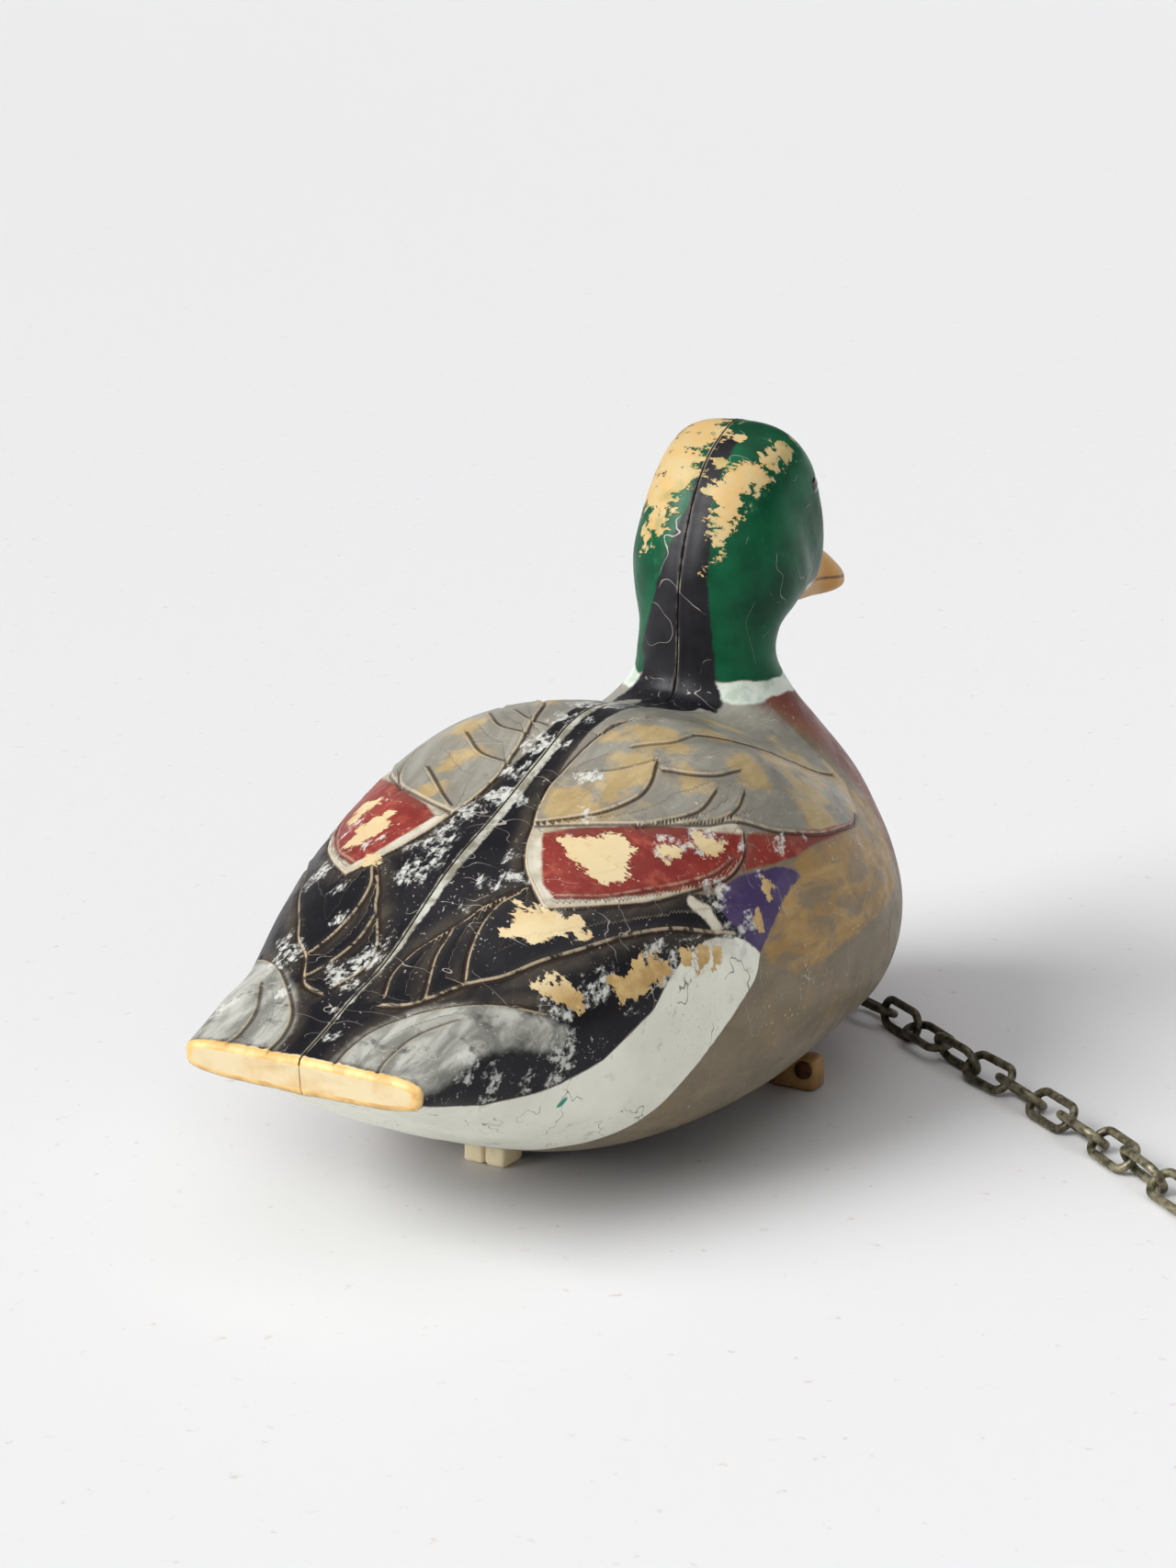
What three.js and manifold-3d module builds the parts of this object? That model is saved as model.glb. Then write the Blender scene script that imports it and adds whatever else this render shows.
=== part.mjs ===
// Hollow moulded duck decoy on three small feet, with a mooring chain hooked to a staple under the breast.
// Millimetres, +Z up, bill towards -Y, the duck's own left side at +X, feet standing on Z = 0.
import * as THREE from "three";
import { mergeVertices } from "three/addons/utils/BufferGeometryUtils.js";
import Module from "manifold-3d";

const LENGTH = 350; // tail end to bill tip
const WALL = 2.6; // thickness of the moulded shell
const SEAM_GAP = 0.3; // left between the two half shells
const FIT = 0.3; // clearance round every pin, leg and eye
const ROWS_PER_GAP = 2; // cross sections made for each gap between two stations
const OUTER_POINTS = 12; // points from back to belly on one side of an outer cross section
const INNER_POINTS = 9; // the same, inside the hollow

// Cross sections from the tail end, over the body, up the neck and out to the bill tip. "along" is
// measured forward from the tail end and "up" from the ground, for the back and the belly line;
// "half" is the half width, "widest" its height between belly and back (0 to 1), and the last two
// are how square the section is over and under that line.
// back along, up | belly along, up | half | widest | over | under
const STATIONS = [
  [0, 69, 1, 58, 42, 0.5, 5, 4],
  [12, 73, 14, 52, 45, 0.54, 4, 3],
  [28, 79, 32, 42, 50, 0.56, 3, 2.6],
  [51, 87, 58, 27, 58, 0.5, 2.6, 2.5],
  [84, 105, 92, 13.5, 72, 0.45, 2.4, 2.5],
  [115, 117, 124, 8.2, 82.5, 0.43, 2.4, 2.5],
  [142, 128, 155, 7, 87.5, 0.41, 2.35, 2.5],
  [162, 136, 185, 7, 89, 0.4, 2.3, 2.4],
  [180, 138, 215, 8, 89, 0.41, 2.2, 2.3],
  [198, 135, 245, 11, 87, 0.42, 2.1, 2.3],
  [213, 131, 273, 17, 81, 0.44, 2, 2.2],
  [225, 128.5, 299, 28, 71, 0.47, 1.9, 2.1],
  [232, 130, 319, 46, 58, 0.5, 1.9, 2],
  [235, 135, 327, 71, 44, 0.52, 1.9, 2],
  [236, 142, 314, 95, 33, 0.52, 1.9, 2],
  [236, 150, 294, 114, 27.5, 0.5, 2, 2],
  [236, 160, 281, 130, 24.5, 0.5, 2, 2],
  [237, 171, 278, 142, 26.5, 0.5, 2, 2],
  [241, 184, 285, 149, 30, 0.5, 2.1, 2.1],
  [247, 197, 293, 151, 30, 0.5, 2.3, 2.2],
  [256, 208.5, 299, 151, 28.5, 0.54, 2.6, 2.2],
  [267, 215.5, 304, 150, 28, 0.6, 2.8, 2.2],
  [278, 219, 308, 149, 27, 0.62, 2.9, 2.2],
  [288, 215, 312, 148, 23.5, 0.6, 2.6, 2.2],
  [297, 203, 315, 147.5, 19, 0.55, 2.3, 2.3],
  [306, 186, 319, 147, 14.5, 0.45, 2.2, 2.4],
  [320, 173, 326, 147, 12.5, 0.4, 2.2, 2.6],
  [335, 164, 336, 147, 13, 0.35, 2.2, 3],
  [345, 157, 345, 148, 10.5, 0.35, 2.2, 3],
  [350, 152, 350, 150, 4, 0.5, 2, 2],
];
const HOLLOW_FROM = 1; // first row of the cavity, just inside the tail end
const HOLLOW_TO = 49; // last row of the cavity, where the bill begins; the bill itself is solid

const REAR_FOOT = { along: 105, long: 12.5, half: 8, top: 12.5 };
const FRONT_FOOT = { along: 219, long: 10, out: 54, wide: 18, top: 12 };
const FOOT_NECK = { along: 220.5, long: 7, out: 50, wide: 11, top: 18 }; // joins a front foot to the belly

const EYE_RADIUS = 5.6;
const EYE = { along: 285, out: 22.4, up: 197 };

const RIVET = { out: 59.5, up: 8, shank: 1.6, head: 3.2, thick: 2.2, long: 7 };

const PLATE = { along: 118.8, long: 80, half: 13.5, up: 2.2, thick: 2 };
const SCREW = { out: 9, inset: 9, shank: 1.6, head: 3.2, top: 11.5 };

const STAPLE = { along: 295.1, up: 18, wire: 3, half: 7.5, top: 38 };
const STAPLE_BEND = 2.5; // bend radius of the staple's corners

const WIRE = 3; // chain wire
const LINK_WIDTH = 12.5; // outside width of a link
const PITCH = 20; // from one joint of the chain to the next
const LINK_PLAY = 0.45; // left between the wires of two links
const CHAIN_START = { along: 308, up: 5 }; // foot of the hanging first link
const HANG = 45; // lean of the hanging first link from the vertical
// The links that lie on the ground: heading in degrees from straight out to the duck's right round
// towards its tail, roll of the link's width from upright, height of its middle.
const LYING = [
  [0, 45, 5.1], [17, -35, 5.5], [29, 65, 5.8], [35, -10, 6.2], [37, 98, 5.9], [33, 24, 5.85],
  [32, -45, 5.4], [36, 50, 5], [36, -43, 5], [37, 50, 5], [39, -47, 5.1], [40, 30, 5.6],
  [38, -50, 5.2], [36, 45, 5],
];

const plastic = { color: 0xe6cd9c, roughness: 0.5, metalness: 0 };
const rusty = { color: 0x4a352b, roughness: 0.85, metalness: 0.4 };
const lead = { color: 0x8f959b, roughness: 0.6, metalness: 0.7 };
const galvanised = { color: 0x6b6a5e, roughness: 0.6, metalness: 0.8 };
const glass = { color: 0x15100e, roughness: 0.08, metalness: 0 };

const wasm = await Module();
wasm.setup();

const rad = (degrees) => (degrees * Math.PI) / 180;

// Duck measures (forward from the tail end, out to its right, up) to the part's frame.
const place = (along, out, up) => new THREE.Vector3(-out, LENGTH / 2 - along, up);

function solid(geometry) {
  const bare = new THREE.BufferGeometry();
  const open = geometry.index ? geometry.toNonIndexed() : geometry;
  bare.setAttribute("position", open.getAttribute("position"));
  const merged = mergeVertices(bare, 1e-3);
  const made = new wasm.Manifold(
    new wasm.Mesh({
      numProp: 3,
      vertProperties: merged.attributes.position.array,
      triVerts: new Uint32Array(merged.index.array),
    }),
  );
  return made;
}

function meshFrom(manifold, name, material) {
  const m = manifold.getMesh();
  const geometry = new THREE.BufferGeometry();
  const positions = new Float32Array(m.numVert * 3);
  for (let i = 0; i < m.numVert; i++)
    for (let k = 0; k < 3; k++) positions[3 * i + k] = m.vertProperties[m.numProp * i + k];
  geometry.setAttribute("position", new THREE.BufferAttribute(positions, 3));
  geometry.setIndex(new THREE.BufferAttribute(m.triVerts, 1));
  geometry.computeVertexNormals();
  const mesh = new THREE.Mesh(geometry, new THREE.MeshStandardMaterial(material));
  mesh.name = name;
  return mesh;
}

// Rings of points, each closed on itself; the ends are closed with a fan, or joined when "loop" is set.
function skin(rings, loop) {
  const n = rings[0].length;
  const points = rings.flat();
  const faces = [];
  const last = loop ? rings.length : rings.length - 1;
  for (let i = 0; i < last; i++)
    for (let j = 0; j < n; j++) {
      const a = i * n + j;
      const b = i * n + ((j + 1) % n);
      const c = ((i + 1) % rings.length) * n + j;
      const d = ((i + 1) % rings.length) * n + ((j + 1) % n);
      faces.push(a, b, d, a, d, c);
    }
  if (!loop)
    for (const [ring, turn] of [[0, 1], [rings.length - 1, 0]]) {
      const centre = new THREE.Vector3();
      rings[ring].forEach((p) => centre.addScaledVector(p, 1 / n));
      points.push(centre);
      for (let j = 0; j < n; j++) {
        const a = ring * n + j;
        const b = ring * n + ((j + 1) % n);
        faces.push(...(turn ? [points.length - 1, b, a] : [points.length - 1, a, b]));
      }
    }
  const geometry = new THREE.BufferGeometry().setFromPoints(points);
  geometry.setIndex(faces);
  return solid(geometry);
}

// Smooth rows between the stations (Catmull-Rom on every column).
function smoothRows() {
  const first = STATIONS[0].map((v, k) => 2 * v - STATIONS[1][k]);
  const end = STATIONS.at(-1).map((v, k) => 2 * v - STATIONS.at(-2)[k]);
  const all = [first, ...STATIONS, end];
  const rows = [];
  for (let i = 1; i < all.length - 2; i++)
    for (let s = 0; s < ROWS_PER_GAP; s++) {
      const t = s / ROWS_PER_GAP;
      rows.push(
        all[i].map((b, k) => {
          const [a, c, d] = [all[i - 1][k], all[i + 1][k], all[i + 2][k]];
          const square = 2 * a - 5 * b + 4 * c - d;
          return 0.5 * (2 * b + (c - a) * t + square * t * t + (3 * b - a - 3 * c + d) * t ** 3);
        }),
      );
    }
  rows.push(STATIONS.at(-1));
  return rows;
}

// One point of a cross section: "turn" runs from 0 at the back to pi at the belly.
function sectionPoint(row, turn, inset) {
  const [backAlong, backUp, bellyAlong, bellyUp, half, widest, over, under] = row;
  const height = Math.hypot(backAlong - bellyAlong, backUp - bellyUp);
  const c = Math.cos(turn);
  const power = 2 / (c >= 0 ? over : under);
  const out = (half - inset) * Math.sin(turn) ** power;
  const reach = Math.abs(c) ** power;
  const skinned = inset / height;
  const mid = skinned + (1 - 2 * skinned) * widest;
  const h = c >= 0 ? mid + (1 - skinned - mid) * reach : mid - (mid - skinned) * reach;
  return [bellyAlong + (backAlong - bellyAlong) * h, out, bellyUp + (backUp - bellyUp) * h];
}

function sectionRing(row, inset, points) {
  const right = [];
  const left = [];
  const fine = Array.from({ length: 121 }, (_, i) => sectionPoint(row, (Math.PI * i) / 120, inset));
  const run = [0];
  for (let i = 1; i < fine.length; i++)
    run.push(run[i - 1] + Math.hypot(...fine[i].map((v, k) => v - fine[i - 1][k])));
  for (let j = 0; j <= points; j++) {
    const want = (run.at(-1) * j) / points;
    const i = Math.min(Math.max(run.findIndex((r) => r >= want), 1), 120);
    const t = (want - run[i - 1]) / (run[i] - run[i - 1]);
    const [along, out, up] = fine[i].map((v, k) => fine[i - 1][k] + (v - fine[i - 1][k]) * t);
    const onSeam = j === 0 || j === points;
    right.push(place(along, onSeam ? 0 : out, up));
    if (!onSeam) left.unshift(place(along, -out, up));
  }
  return [...right, ...left];
}

function box(x0, x1, y0, y1, z0, z1) {
  const geometry = new THREE.BoxGeometry(x1 - x0, y1 - y0, z1 - z0);
  geometry.translate((x0 + x1) / 2, (y0 + y1) / 2, (z0 + z1) / 2);
  return solid(geometry);
}

// Block with rounded corners seen from above, standing on height z0.
function block(along, long, out, wide, z0, z1, corner) {
  const shape = new THREE.Shape();
  const [x, y] = [wide / 2 - corner, long / 2 - corner];
  shape.absarc(x, y, corner, 0, Math.PI / 2);
  shape.absarc(-x, y, corner, Math.PI / 2, Math.PI);
  shape.absarc(-x, -y, corner, Math.PI, 1.5 * Math.PI);
  shape.absarc(x, -y, corner, 1.5 * Math.PI, 2 * Math.PI);
  const geometry = new THREE.ExtrudeGeometry(shape, {
    depth: z1 - z0,
    bevelEnabled: false,
    curveSegments: 4,
  });
  const at = place(along + long / 2, out, z0);
  geometry.translate(at.x, at.y, at.z);
  return solid(geometry);
}

function pin(radius, from, to, sides = 12) {
  const axis = new THREE.Vector3().subVectors(to, from);
  const geometry = new THREE.CylinderGeometry(radius, radius, axis.length(), sides);
  const turn = new THREE.Quaternion().setFromUnitVectors(
    new THREE.Vector3(0, 1, 0),
    axis.clone().normalize(),
  );
  geometry.applyQuaternion(turn);
  const centre = from.clone().addScaledVector(axis, 0.5);
  geometry.translate(centre.x, centre.y, centre.z);
  return solid(geometry);
}

// Domed head turned about an axis: "from" is the middle of its flat side, "towards" the way it bulges.
function domedHead(radius, thick, from, towards) {
  const profile = [new THREE.Vector2(0, 0), new THREE.Vector2(radius, 0)];
  for (let i = 1; i <= 4; i++) {
    const a = (i / 4) * (Math.PI / 2);
    const r = i === 4 ? 0 : radius * Math.cos(a);
    profile.push(new THREE.Vector2(r, thick * (0.3 + 0.7 * Math.sin(a))));
  }
  const geometry = new THREE.LatheGeometry(profile, 12);
  geometry.applyQuaternion(
    new THREE.Quaternion().setFromUnitVectors(new THREE.Vector3(0, 1, 0), towards),
  );
  geometry.translate(from.x, from.y, from.z);
  return solid(geometry);
}

function sphere(radius, centre) {
  const geometry = new THREE.SphereGeometry(radius, 16, 10);
  geometry.translate(centre.x, centre.y, centre.z);
  return solid(geometry);
}

const screwPlaces = [];
for (const side of [1, -1])
  for (const along of [PLATE.along + SCREW.inset, PLATE.along + PLATE.long - SCREW.inset])
    screwPlaces.push({ side, along });

function halfShell(body, cavity, side) {
  const limits = [side * SEAM_GAP * 0.5, side * 200].sort((a, b) => a - b);
  const half = box(limits[0], limits[1], -300, 300, -10, 300);
  const rear = REAR_FOOT;
  const front = FRONT_FOOT;
  const rearFoot = block(rear.along, rear.long, 0, 2 * rear.half, 0, rear.top, 2.5);
  const neck = FOOT_NECK;
  const frontFoot = block(front.along, front.long, -side * front.out, front.wide, 0, front.top, 2.5).add(
    block(neck.along, neck.long, -side * neck.out, neck.wide, front.top / 2, neck.top, 1.5),
  );
  let shell = body.add(rearFoot).intersect(half).add(frontFoot).subtract(cavity);
  const hole = EYE_RADIUS + FIT;
  shell = shell.subtract(sphere(hole, place(EYE.along, -side * EYE.out, EYE.up)));
  const [r, out] = [RIVET, -side * RIVET.out];
  shell = shell.subtract(
    pin(
      r.shank + FIT,
      place(front.along - 5, out, r.up),
      place(front.along + r.long + FIT, out, r.up),
    ),
  );
  const leg = STAPLE.wire / 2 + FIT;
  const legOut = -side * STAPLE.half;
  shell = shell.subtract(
    pin(leg, place(STAPLE.along, legOut, 10), place(STAPLE.along, legOut, STAPLE.top + 5)),
  );
  for (const s of screwPlaces.filter((p) => p.side === side))
    shell = shell.subtract(
      pin(
        SCREW.shank + FIT,
        place(s.along, -side * SCREW.out, -5),
        place(s.along, -side * SCREW.out, SCREW.top + 4),
      ),
    );
  return shell;
}

function rivet(side) {
  const { out, up, shank, head, thick, long } = RIVET;
  const face = FRONT_FOOT.along - FIT;
  const back = place(face, -side * out, up);
  const cap = domedHead(head, thick, back, new THREE.Vector3(0, 1, 0));
  return cap.add(pin(shank, place(face - 0.5, -side * out, up), place(face + long, -side * out, up)));
}

function ballastPlate() {
  const { along, long, half, up, thick } = PLATE;
  let plate = block(along, long, 0, 2 * half, up, up + thick, 4);
  for (const s of screwPlaces) {
    const out = -s.side * SCREW.out;
    plate = plate.subtract(pin(SCREW.shank + FIT, place(s.along, out, 0), place(s.along, out, 9)));
  }
  return plate;
}

function screw({ side, along }) {
  const out = -side * SCREW.out;
  const head = domedHead(
    SCREW.head,
    1.6,
    place(along, out, PLATE.up - FIT),
    new THREE.Vector3(0, 0, -1),
  );
  return head.add(pin(SCREW.shank, place(along, out, PLATE.up - 0.6), place(along, out, SCREW.top)));
}

// U of wire across the seam: a straight bar below the breast and two legs up through the shells.
function staple() {
  const { along, up, wire, half, top } = STAPLE;
  const path = [];
  path.push([-half, top]);
  for (let i = 0; i <= 4; i++) {
    const a = (i / 4) * (Math.PI / 2);
    path.push([-half + STAPLE_BEND * (1 - Math.cos(a)), up + STAPLE_BEND * (1 - Math.sin(a))]);
  }
  const centreline = [...path, ...path.map(([x, z]) => [-x, z]).reverse()];
  const rings = centreline.map(([x, z], i) => {
    const before = centreline[Math.max(i - 1, 0)];
    const after = centreline[Math.min(i + 1, centreline.length - 1)];
    const along2 = new THREE.Vector2(after[0] - before[0], after[1] - before[1]).normalize();
    const across = new THREE.Vector3(along2.y, 0, -along2.x);
    return Array.from({ length: 10 }, (_, k) => {
      const a = (2 * Math.PI * k) / 10;
      return place(along, 0, 0)
        .add(new THREE.Vector3(x, 0, z))
        .addScaledVector(across, (wire / 2) * Math.cos(a))
        .add(new THREE.Vector3(0, (wire / 2) * Math.sin(a), 0));
    });
  });
  return skin(rings, false);
}

// Link with its length on local X, its width on local Y, centred on the origin.
function linkSolid() {
  const bend = (LINK_WIDTH - WIRE) / 2;
  const straight = (PITCH + WIRE + LINK_PLAY) / 2 - bend;
  const rings = [];
  for (const end of [1, -1])
    for (let i = 0; i <= 6; i++) {
      const a = -Math.PI / 2 + (Math.PI * i) / 6 + (end > 0 ? 0 : Math.PI);
      const outward = new THREE.Vector3(Math.cos(a), Math.sin(a), 0);
      const centre = outward.clone().multiplyScalar(bend).setX(end * straight + bend * Math.cos(a));
      rings.push(
        Array.from({ length: 8 }, (_, k) => {
          const b = (-2 * Math.PI * (k + 0.5)) / 8;
          return centre
            .clone()
            .addScaledVector(outward, (WIRE / 2) * Math.cos(b))
            .setZ((WIRE / 2) * Math.sin(b));
        }),
      );
    }
  return skin(rings, true);
}

// Each link's middle, the way it points and the way its width lies. The first hangs from the staple's
// bar; the others lie on the ground, each hooked into the one before.
function chainFrames() {
  const lean = rad(HANG);
  const grip = (WIRE + LINK_PLAY) / 2;
  const down = new THREE.Vector3(0, -Math.sin(lean), -Math.cos(lean));
  const foot = place(CHAIN_START.along, 0, CHAIN_START.up);
  const frames = [
    {
      middle: foot.clone().addScaledVector(down, -PITCH / 2),
      along: down,
      across: new THREE.Vector3(0, -Math.cos(lean), Math.sin(lean)),
    },
  ];
  for (const [heading, roll, up] of LYING) {
    const before = frames.at(-1);
    const along = new THREE.Vector3(-Math.cos(rad(heading)), Math.sin(rad(heading)), 0);
    frames.push({
      middle: before.middle
        .clone()
        .addScaledVector(before.along, PITCH / 2 + grip)
        .addScaledVector(along, PITCH / 2 - grip)
        .setZ(up),
      along,
      across: new THREE.Vector3(along.y, -along.x, 0)
        .multiplyScalar(Math.sin(rad(roll)))
        .setZ(Math.cos(rad(roll))),
    });
  }
  return frames;
}

function chainLinks() {
  const shape = linkSolid();
  return chainFrames().map(({ middle, along, across }, i) => {
    const normal = new THREE.Vector3().crossVectors(along, across);
    const frame = new THREE.Matrix4().makeBasis(along, across, normal).setPosition(middle);
    const name = "chain_link_" + String(i + 1).padStart(2, "0");
    return meshFrom(shape.transform(frame.elements), name, galvanised);
  });
}

const rows = smoothRows();
const body = skin(rows.map((row) => sectionRing(row, 0, OUTER_POINTS)), false);
const cavity = skin(
  rows
    .slice(HOLLOW_FROM, HOLLOW_TO + 1)
    .filter((_, i) => i % 2 === 0)
    .map((row) => sectionRing(row, WALL, INNER_POINTS)),
  false,
);

const decoy = new THREE.Group();
decoy.name = "duck_decoy";
for (const [side, word] of [[1, "left"], [-1, "right"]]) {
  decoy.add(meshFrom(halfShell(body, cavity, side), word + "_shell", plastic));
  const eye = place(EYE.along, -side * EYE.out, EYE.up);
  decoy.add(meshFrom(sphere(EYE_RADIUS, eye), word + "_eye", glass));
  decoy.add(meshFrom(rivet(side), word + "_foot_rivet", rusty));
}
decoy.add(meshFrom(ballastPlate(), "ballast_plate", lead));
screwPlaces.forEach((p) => {
  const word = (p.side > 0 ? "left" : "right") + (p.along < PLATE.along + PLATE.long / 2 ? "_rear" : "_front");
  decoy.add(meshFrom(screw(p), word + "_plate_screw", rusty));
});
decoy.add(meshFrom(staple(), "mooring_staple", rusty));
decoy.add(...chainLinks());

export default decoy;
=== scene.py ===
import math

import bmesh
import bpy
import numpy as np
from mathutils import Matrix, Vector, noise


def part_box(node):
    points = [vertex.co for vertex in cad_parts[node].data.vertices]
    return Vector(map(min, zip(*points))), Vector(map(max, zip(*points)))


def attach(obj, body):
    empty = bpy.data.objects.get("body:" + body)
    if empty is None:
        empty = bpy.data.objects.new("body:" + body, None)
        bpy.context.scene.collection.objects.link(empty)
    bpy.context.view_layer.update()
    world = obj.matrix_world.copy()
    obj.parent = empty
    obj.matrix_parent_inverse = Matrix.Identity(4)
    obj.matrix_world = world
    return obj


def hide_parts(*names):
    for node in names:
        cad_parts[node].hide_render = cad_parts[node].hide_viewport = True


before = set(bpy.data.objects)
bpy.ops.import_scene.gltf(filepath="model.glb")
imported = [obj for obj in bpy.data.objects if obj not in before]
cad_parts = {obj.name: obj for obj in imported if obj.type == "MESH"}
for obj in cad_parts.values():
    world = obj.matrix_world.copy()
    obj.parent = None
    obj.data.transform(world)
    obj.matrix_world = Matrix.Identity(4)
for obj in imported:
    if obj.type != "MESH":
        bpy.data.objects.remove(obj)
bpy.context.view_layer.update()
MM = 0.001

# ---------------------------------------------------------------- driving dimensions, millimetres

LENGTH = 350  # tail end to bill tip
WALL = 2.6  # thickness of the moulded shell
HALF_GAP = 0.15  # from the middle plane to each half shell
ROW_STEP = 1.15  # distance between the cross sections of the skin
FINE_GIRTH = 112  # girth from the back seam that holds the moulded feathers
FINE_COLUMNS = 132  # points over that girth
PLAIN_COLUMNS = 50  # points over the rest, down to the belly seam
SEAM_STEPS = [0, 0.35, 0.8, 1.4, 2.1, 2.9]  # points close to each seam
TAIL_ROUND = 1.6  # rounding of the tail's blunt end
SIDE_SIGN = {"right": 1, "left": -1}

# Cross sections from the tail end, over the body, up the neck and out to the bill tip.
# back along, up | belly along, up | half width | widest (0 to 1) | squareness over | under
STATIONS = np.array([
    [0, 69, 1, 58, 42, 0.5, 5, 4],
    [12, 73, 14, 52, 45, 0.54, 4, 3],
    [28, 79, 32, 42, 50, 0.56, 3, 2.6],
    [51, 87, 58, 27, 58, 0.5, 2.6, 2.5],
    [84, 105, 92, 13.5, 72, 0.45, 2.4, 2.5],
    [115, 117, 124, 8.2, 82.5, 0.43, 2.4, 2.5],
    [142, 128, 155, 7, 87.5, 0.41, 2.35, 2.5],
    [162, 136, 185, 7, 89, 0.4, 2.3, 2.4],
    [180, 138, 215, 8, 89, 0.41, 2.2, 2.3],
    [198, 135, 245, 11, 87, 0.42, 2.1, 2.3],
    [213, 131, 273, 17, 81, 0.44, 2, 2.2],
    [225, 128.5, 299, 28, 71, 0.47, 1.9, 2.1],
    [232, 130, 319, 46, 58, 0.5, 1.9, 2],
    [235, 135, 327, 71, 44, 0.52, 1.9, 2],
    [236, 142, 314, 95, 33, 0.52, 1.9, 2],
    [236, 150, 294, 114, 27.5, 0.5, 2, 2],
    [236, 160, 281, 130, 24.5, 0.5, 2, 2],
    [237, 171, 278, 142, 26.5, 0.5, 2, 2],
    [241, 184, 285, 149, 30, 0.5, 2.1, 2.1],
    [247, 197, 293, 151, 30, 0.5, 2.3, 2.2],
    [256, 208.5, 299, 151, 28.5, 0.54, 2.6, 2.2],
    [267, 215.5, 304, 150, 28, 0.6, 2.8, 2.2],
    [278, 219, 308, 149, 27, 0.62, 2.9, 2.2],
    [288, 215, 312, 148, 23.5, 0.6, 2.6, 2.2],
    [297, 203, 315, 147.5, 19, 0.55, 2.3, 2.3],
    [306, 186, 319, 147, 14.5, 0.45, 2.2, 2.4],
    [320, 173, 326, 147, 12.5, 0.4, 2.2, 2.6],
    [335, 164, 336, 147, 13, 0.35, 2.2, 3],
    [345, 157, 345, 148, 10.5, 0.35, 2.2, 3],
    [350, 152, 350, 150, 4, 0.5, 2, 2],
])
HOLLOW_TO = 25.0  # station where the cavity ends and the solid bill begins

REAR_FOOT = {"along": 105, "long": 12.5, "half": 8, "top": 12.5}
FRONT_FOOT = {"along": 219, "long": 10, "out": 54, "wide": 18, "top": 12}
FOOT_NECK = {"along": 220.5, "long": 7, "out": 50, "wide": 11, "top": 18}

BAR = 1.5  # radius of the staple's wire
LINK = {"wire": 3.0, "wide": 12.5, "pitch": 20.0, "play": 0.45}
# Turned pieces: (radius, height) from the foot of the shank to the crown.
RIVET = [(0.3, -6.9), (1.6, -6.8), (1.6, -0.2), (3.2, 0), (3.2, 0.6), (3.0, 1.2), (2.4, 1.75), (1.5, 2.1),
         (0.4, 2.2)]
SCREW = [(0.3, -9.2), (1.6, -9.1), (1.6, -0.1), (3.2, 0), (3.2, 0.5), (2.8, 1.0), (2.0, 1.4), (1.1, 1.58),
         (0.3, 1.6)]
SCREW_SLOT = {"deep": 0.5, "half": 0.35, "below_top": 1.2}

# ---------------------------------------------------------------- plumage
# Lines and fields lie on the skin: (along, girth), the girth measured from the back seam down the
# side. One set serves both sides unless it names one.

WING_EDGE = [(198, 33), (190, 28), (177, 19), (163, 14.5), (149, 11.5), (138, 10.5), (131, 10), (120, 12),
    (112, 15), (103, 18), (94, 23), (88, 29), (82, 37)]
BACK_STRIPE = {
    "right": [(262, 4), (240, 13), (225, 12), (205, 9), (177, 10), (157, 9), (144, 9), (131, 10)],
    "left": [(262, 4), (240, 13), (225, 9), (205, 6), (180, 5), (160, 5), (140, 7), (125, 12)],
}
TOP_LINE = [(113, 16), (119, 29), (127, 42), (134, 51), (145, 62), (155, 69), (169, 82), (190, 90),
    (208, 90), (222, 88), (233, 83)]
BAR_LINE = [(82, 37), (92, 49), (106, 62), (121, 71), (133, 77), (141, 79), (149, 78), (154, 74)]
PRIMARY_EDGE = [(29, 11), (33, 20), (47, 29), (56, 38), (66, 45), (79, 55), (93, 64), (107, 74),
    (118, 84), (128, 92)]
PRIMARY_1 = [(87, 28), (75, 19), (69, 16), (59, 9), (53, 6), (44, 5), (33, 9)]
PRIMARY_2 = [(84, 27), (77, 23), (68, 22), (58, 24), (49, 28)]
PRIMARY_3 = [(64, 14), (56, 14), (49, 16), (37, 21)]
TAIL_ARC = [(56, 55), (43, 37), (30, 24), (19, 15), (10, 12), (2, 12)]
TAIL_LINE = [(33, 36), (19, 28), (8, 26), (2, 27)]
WHITE_EDGE = [(0, 46), (13, 56), (28, 66), (42, 71), (57, 77), (70, 83), (82, 85), (90, 86), (96, 84),
    (104, 83), (116, 85), (126, 90), (134, 99), (137, 104)]

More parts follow.
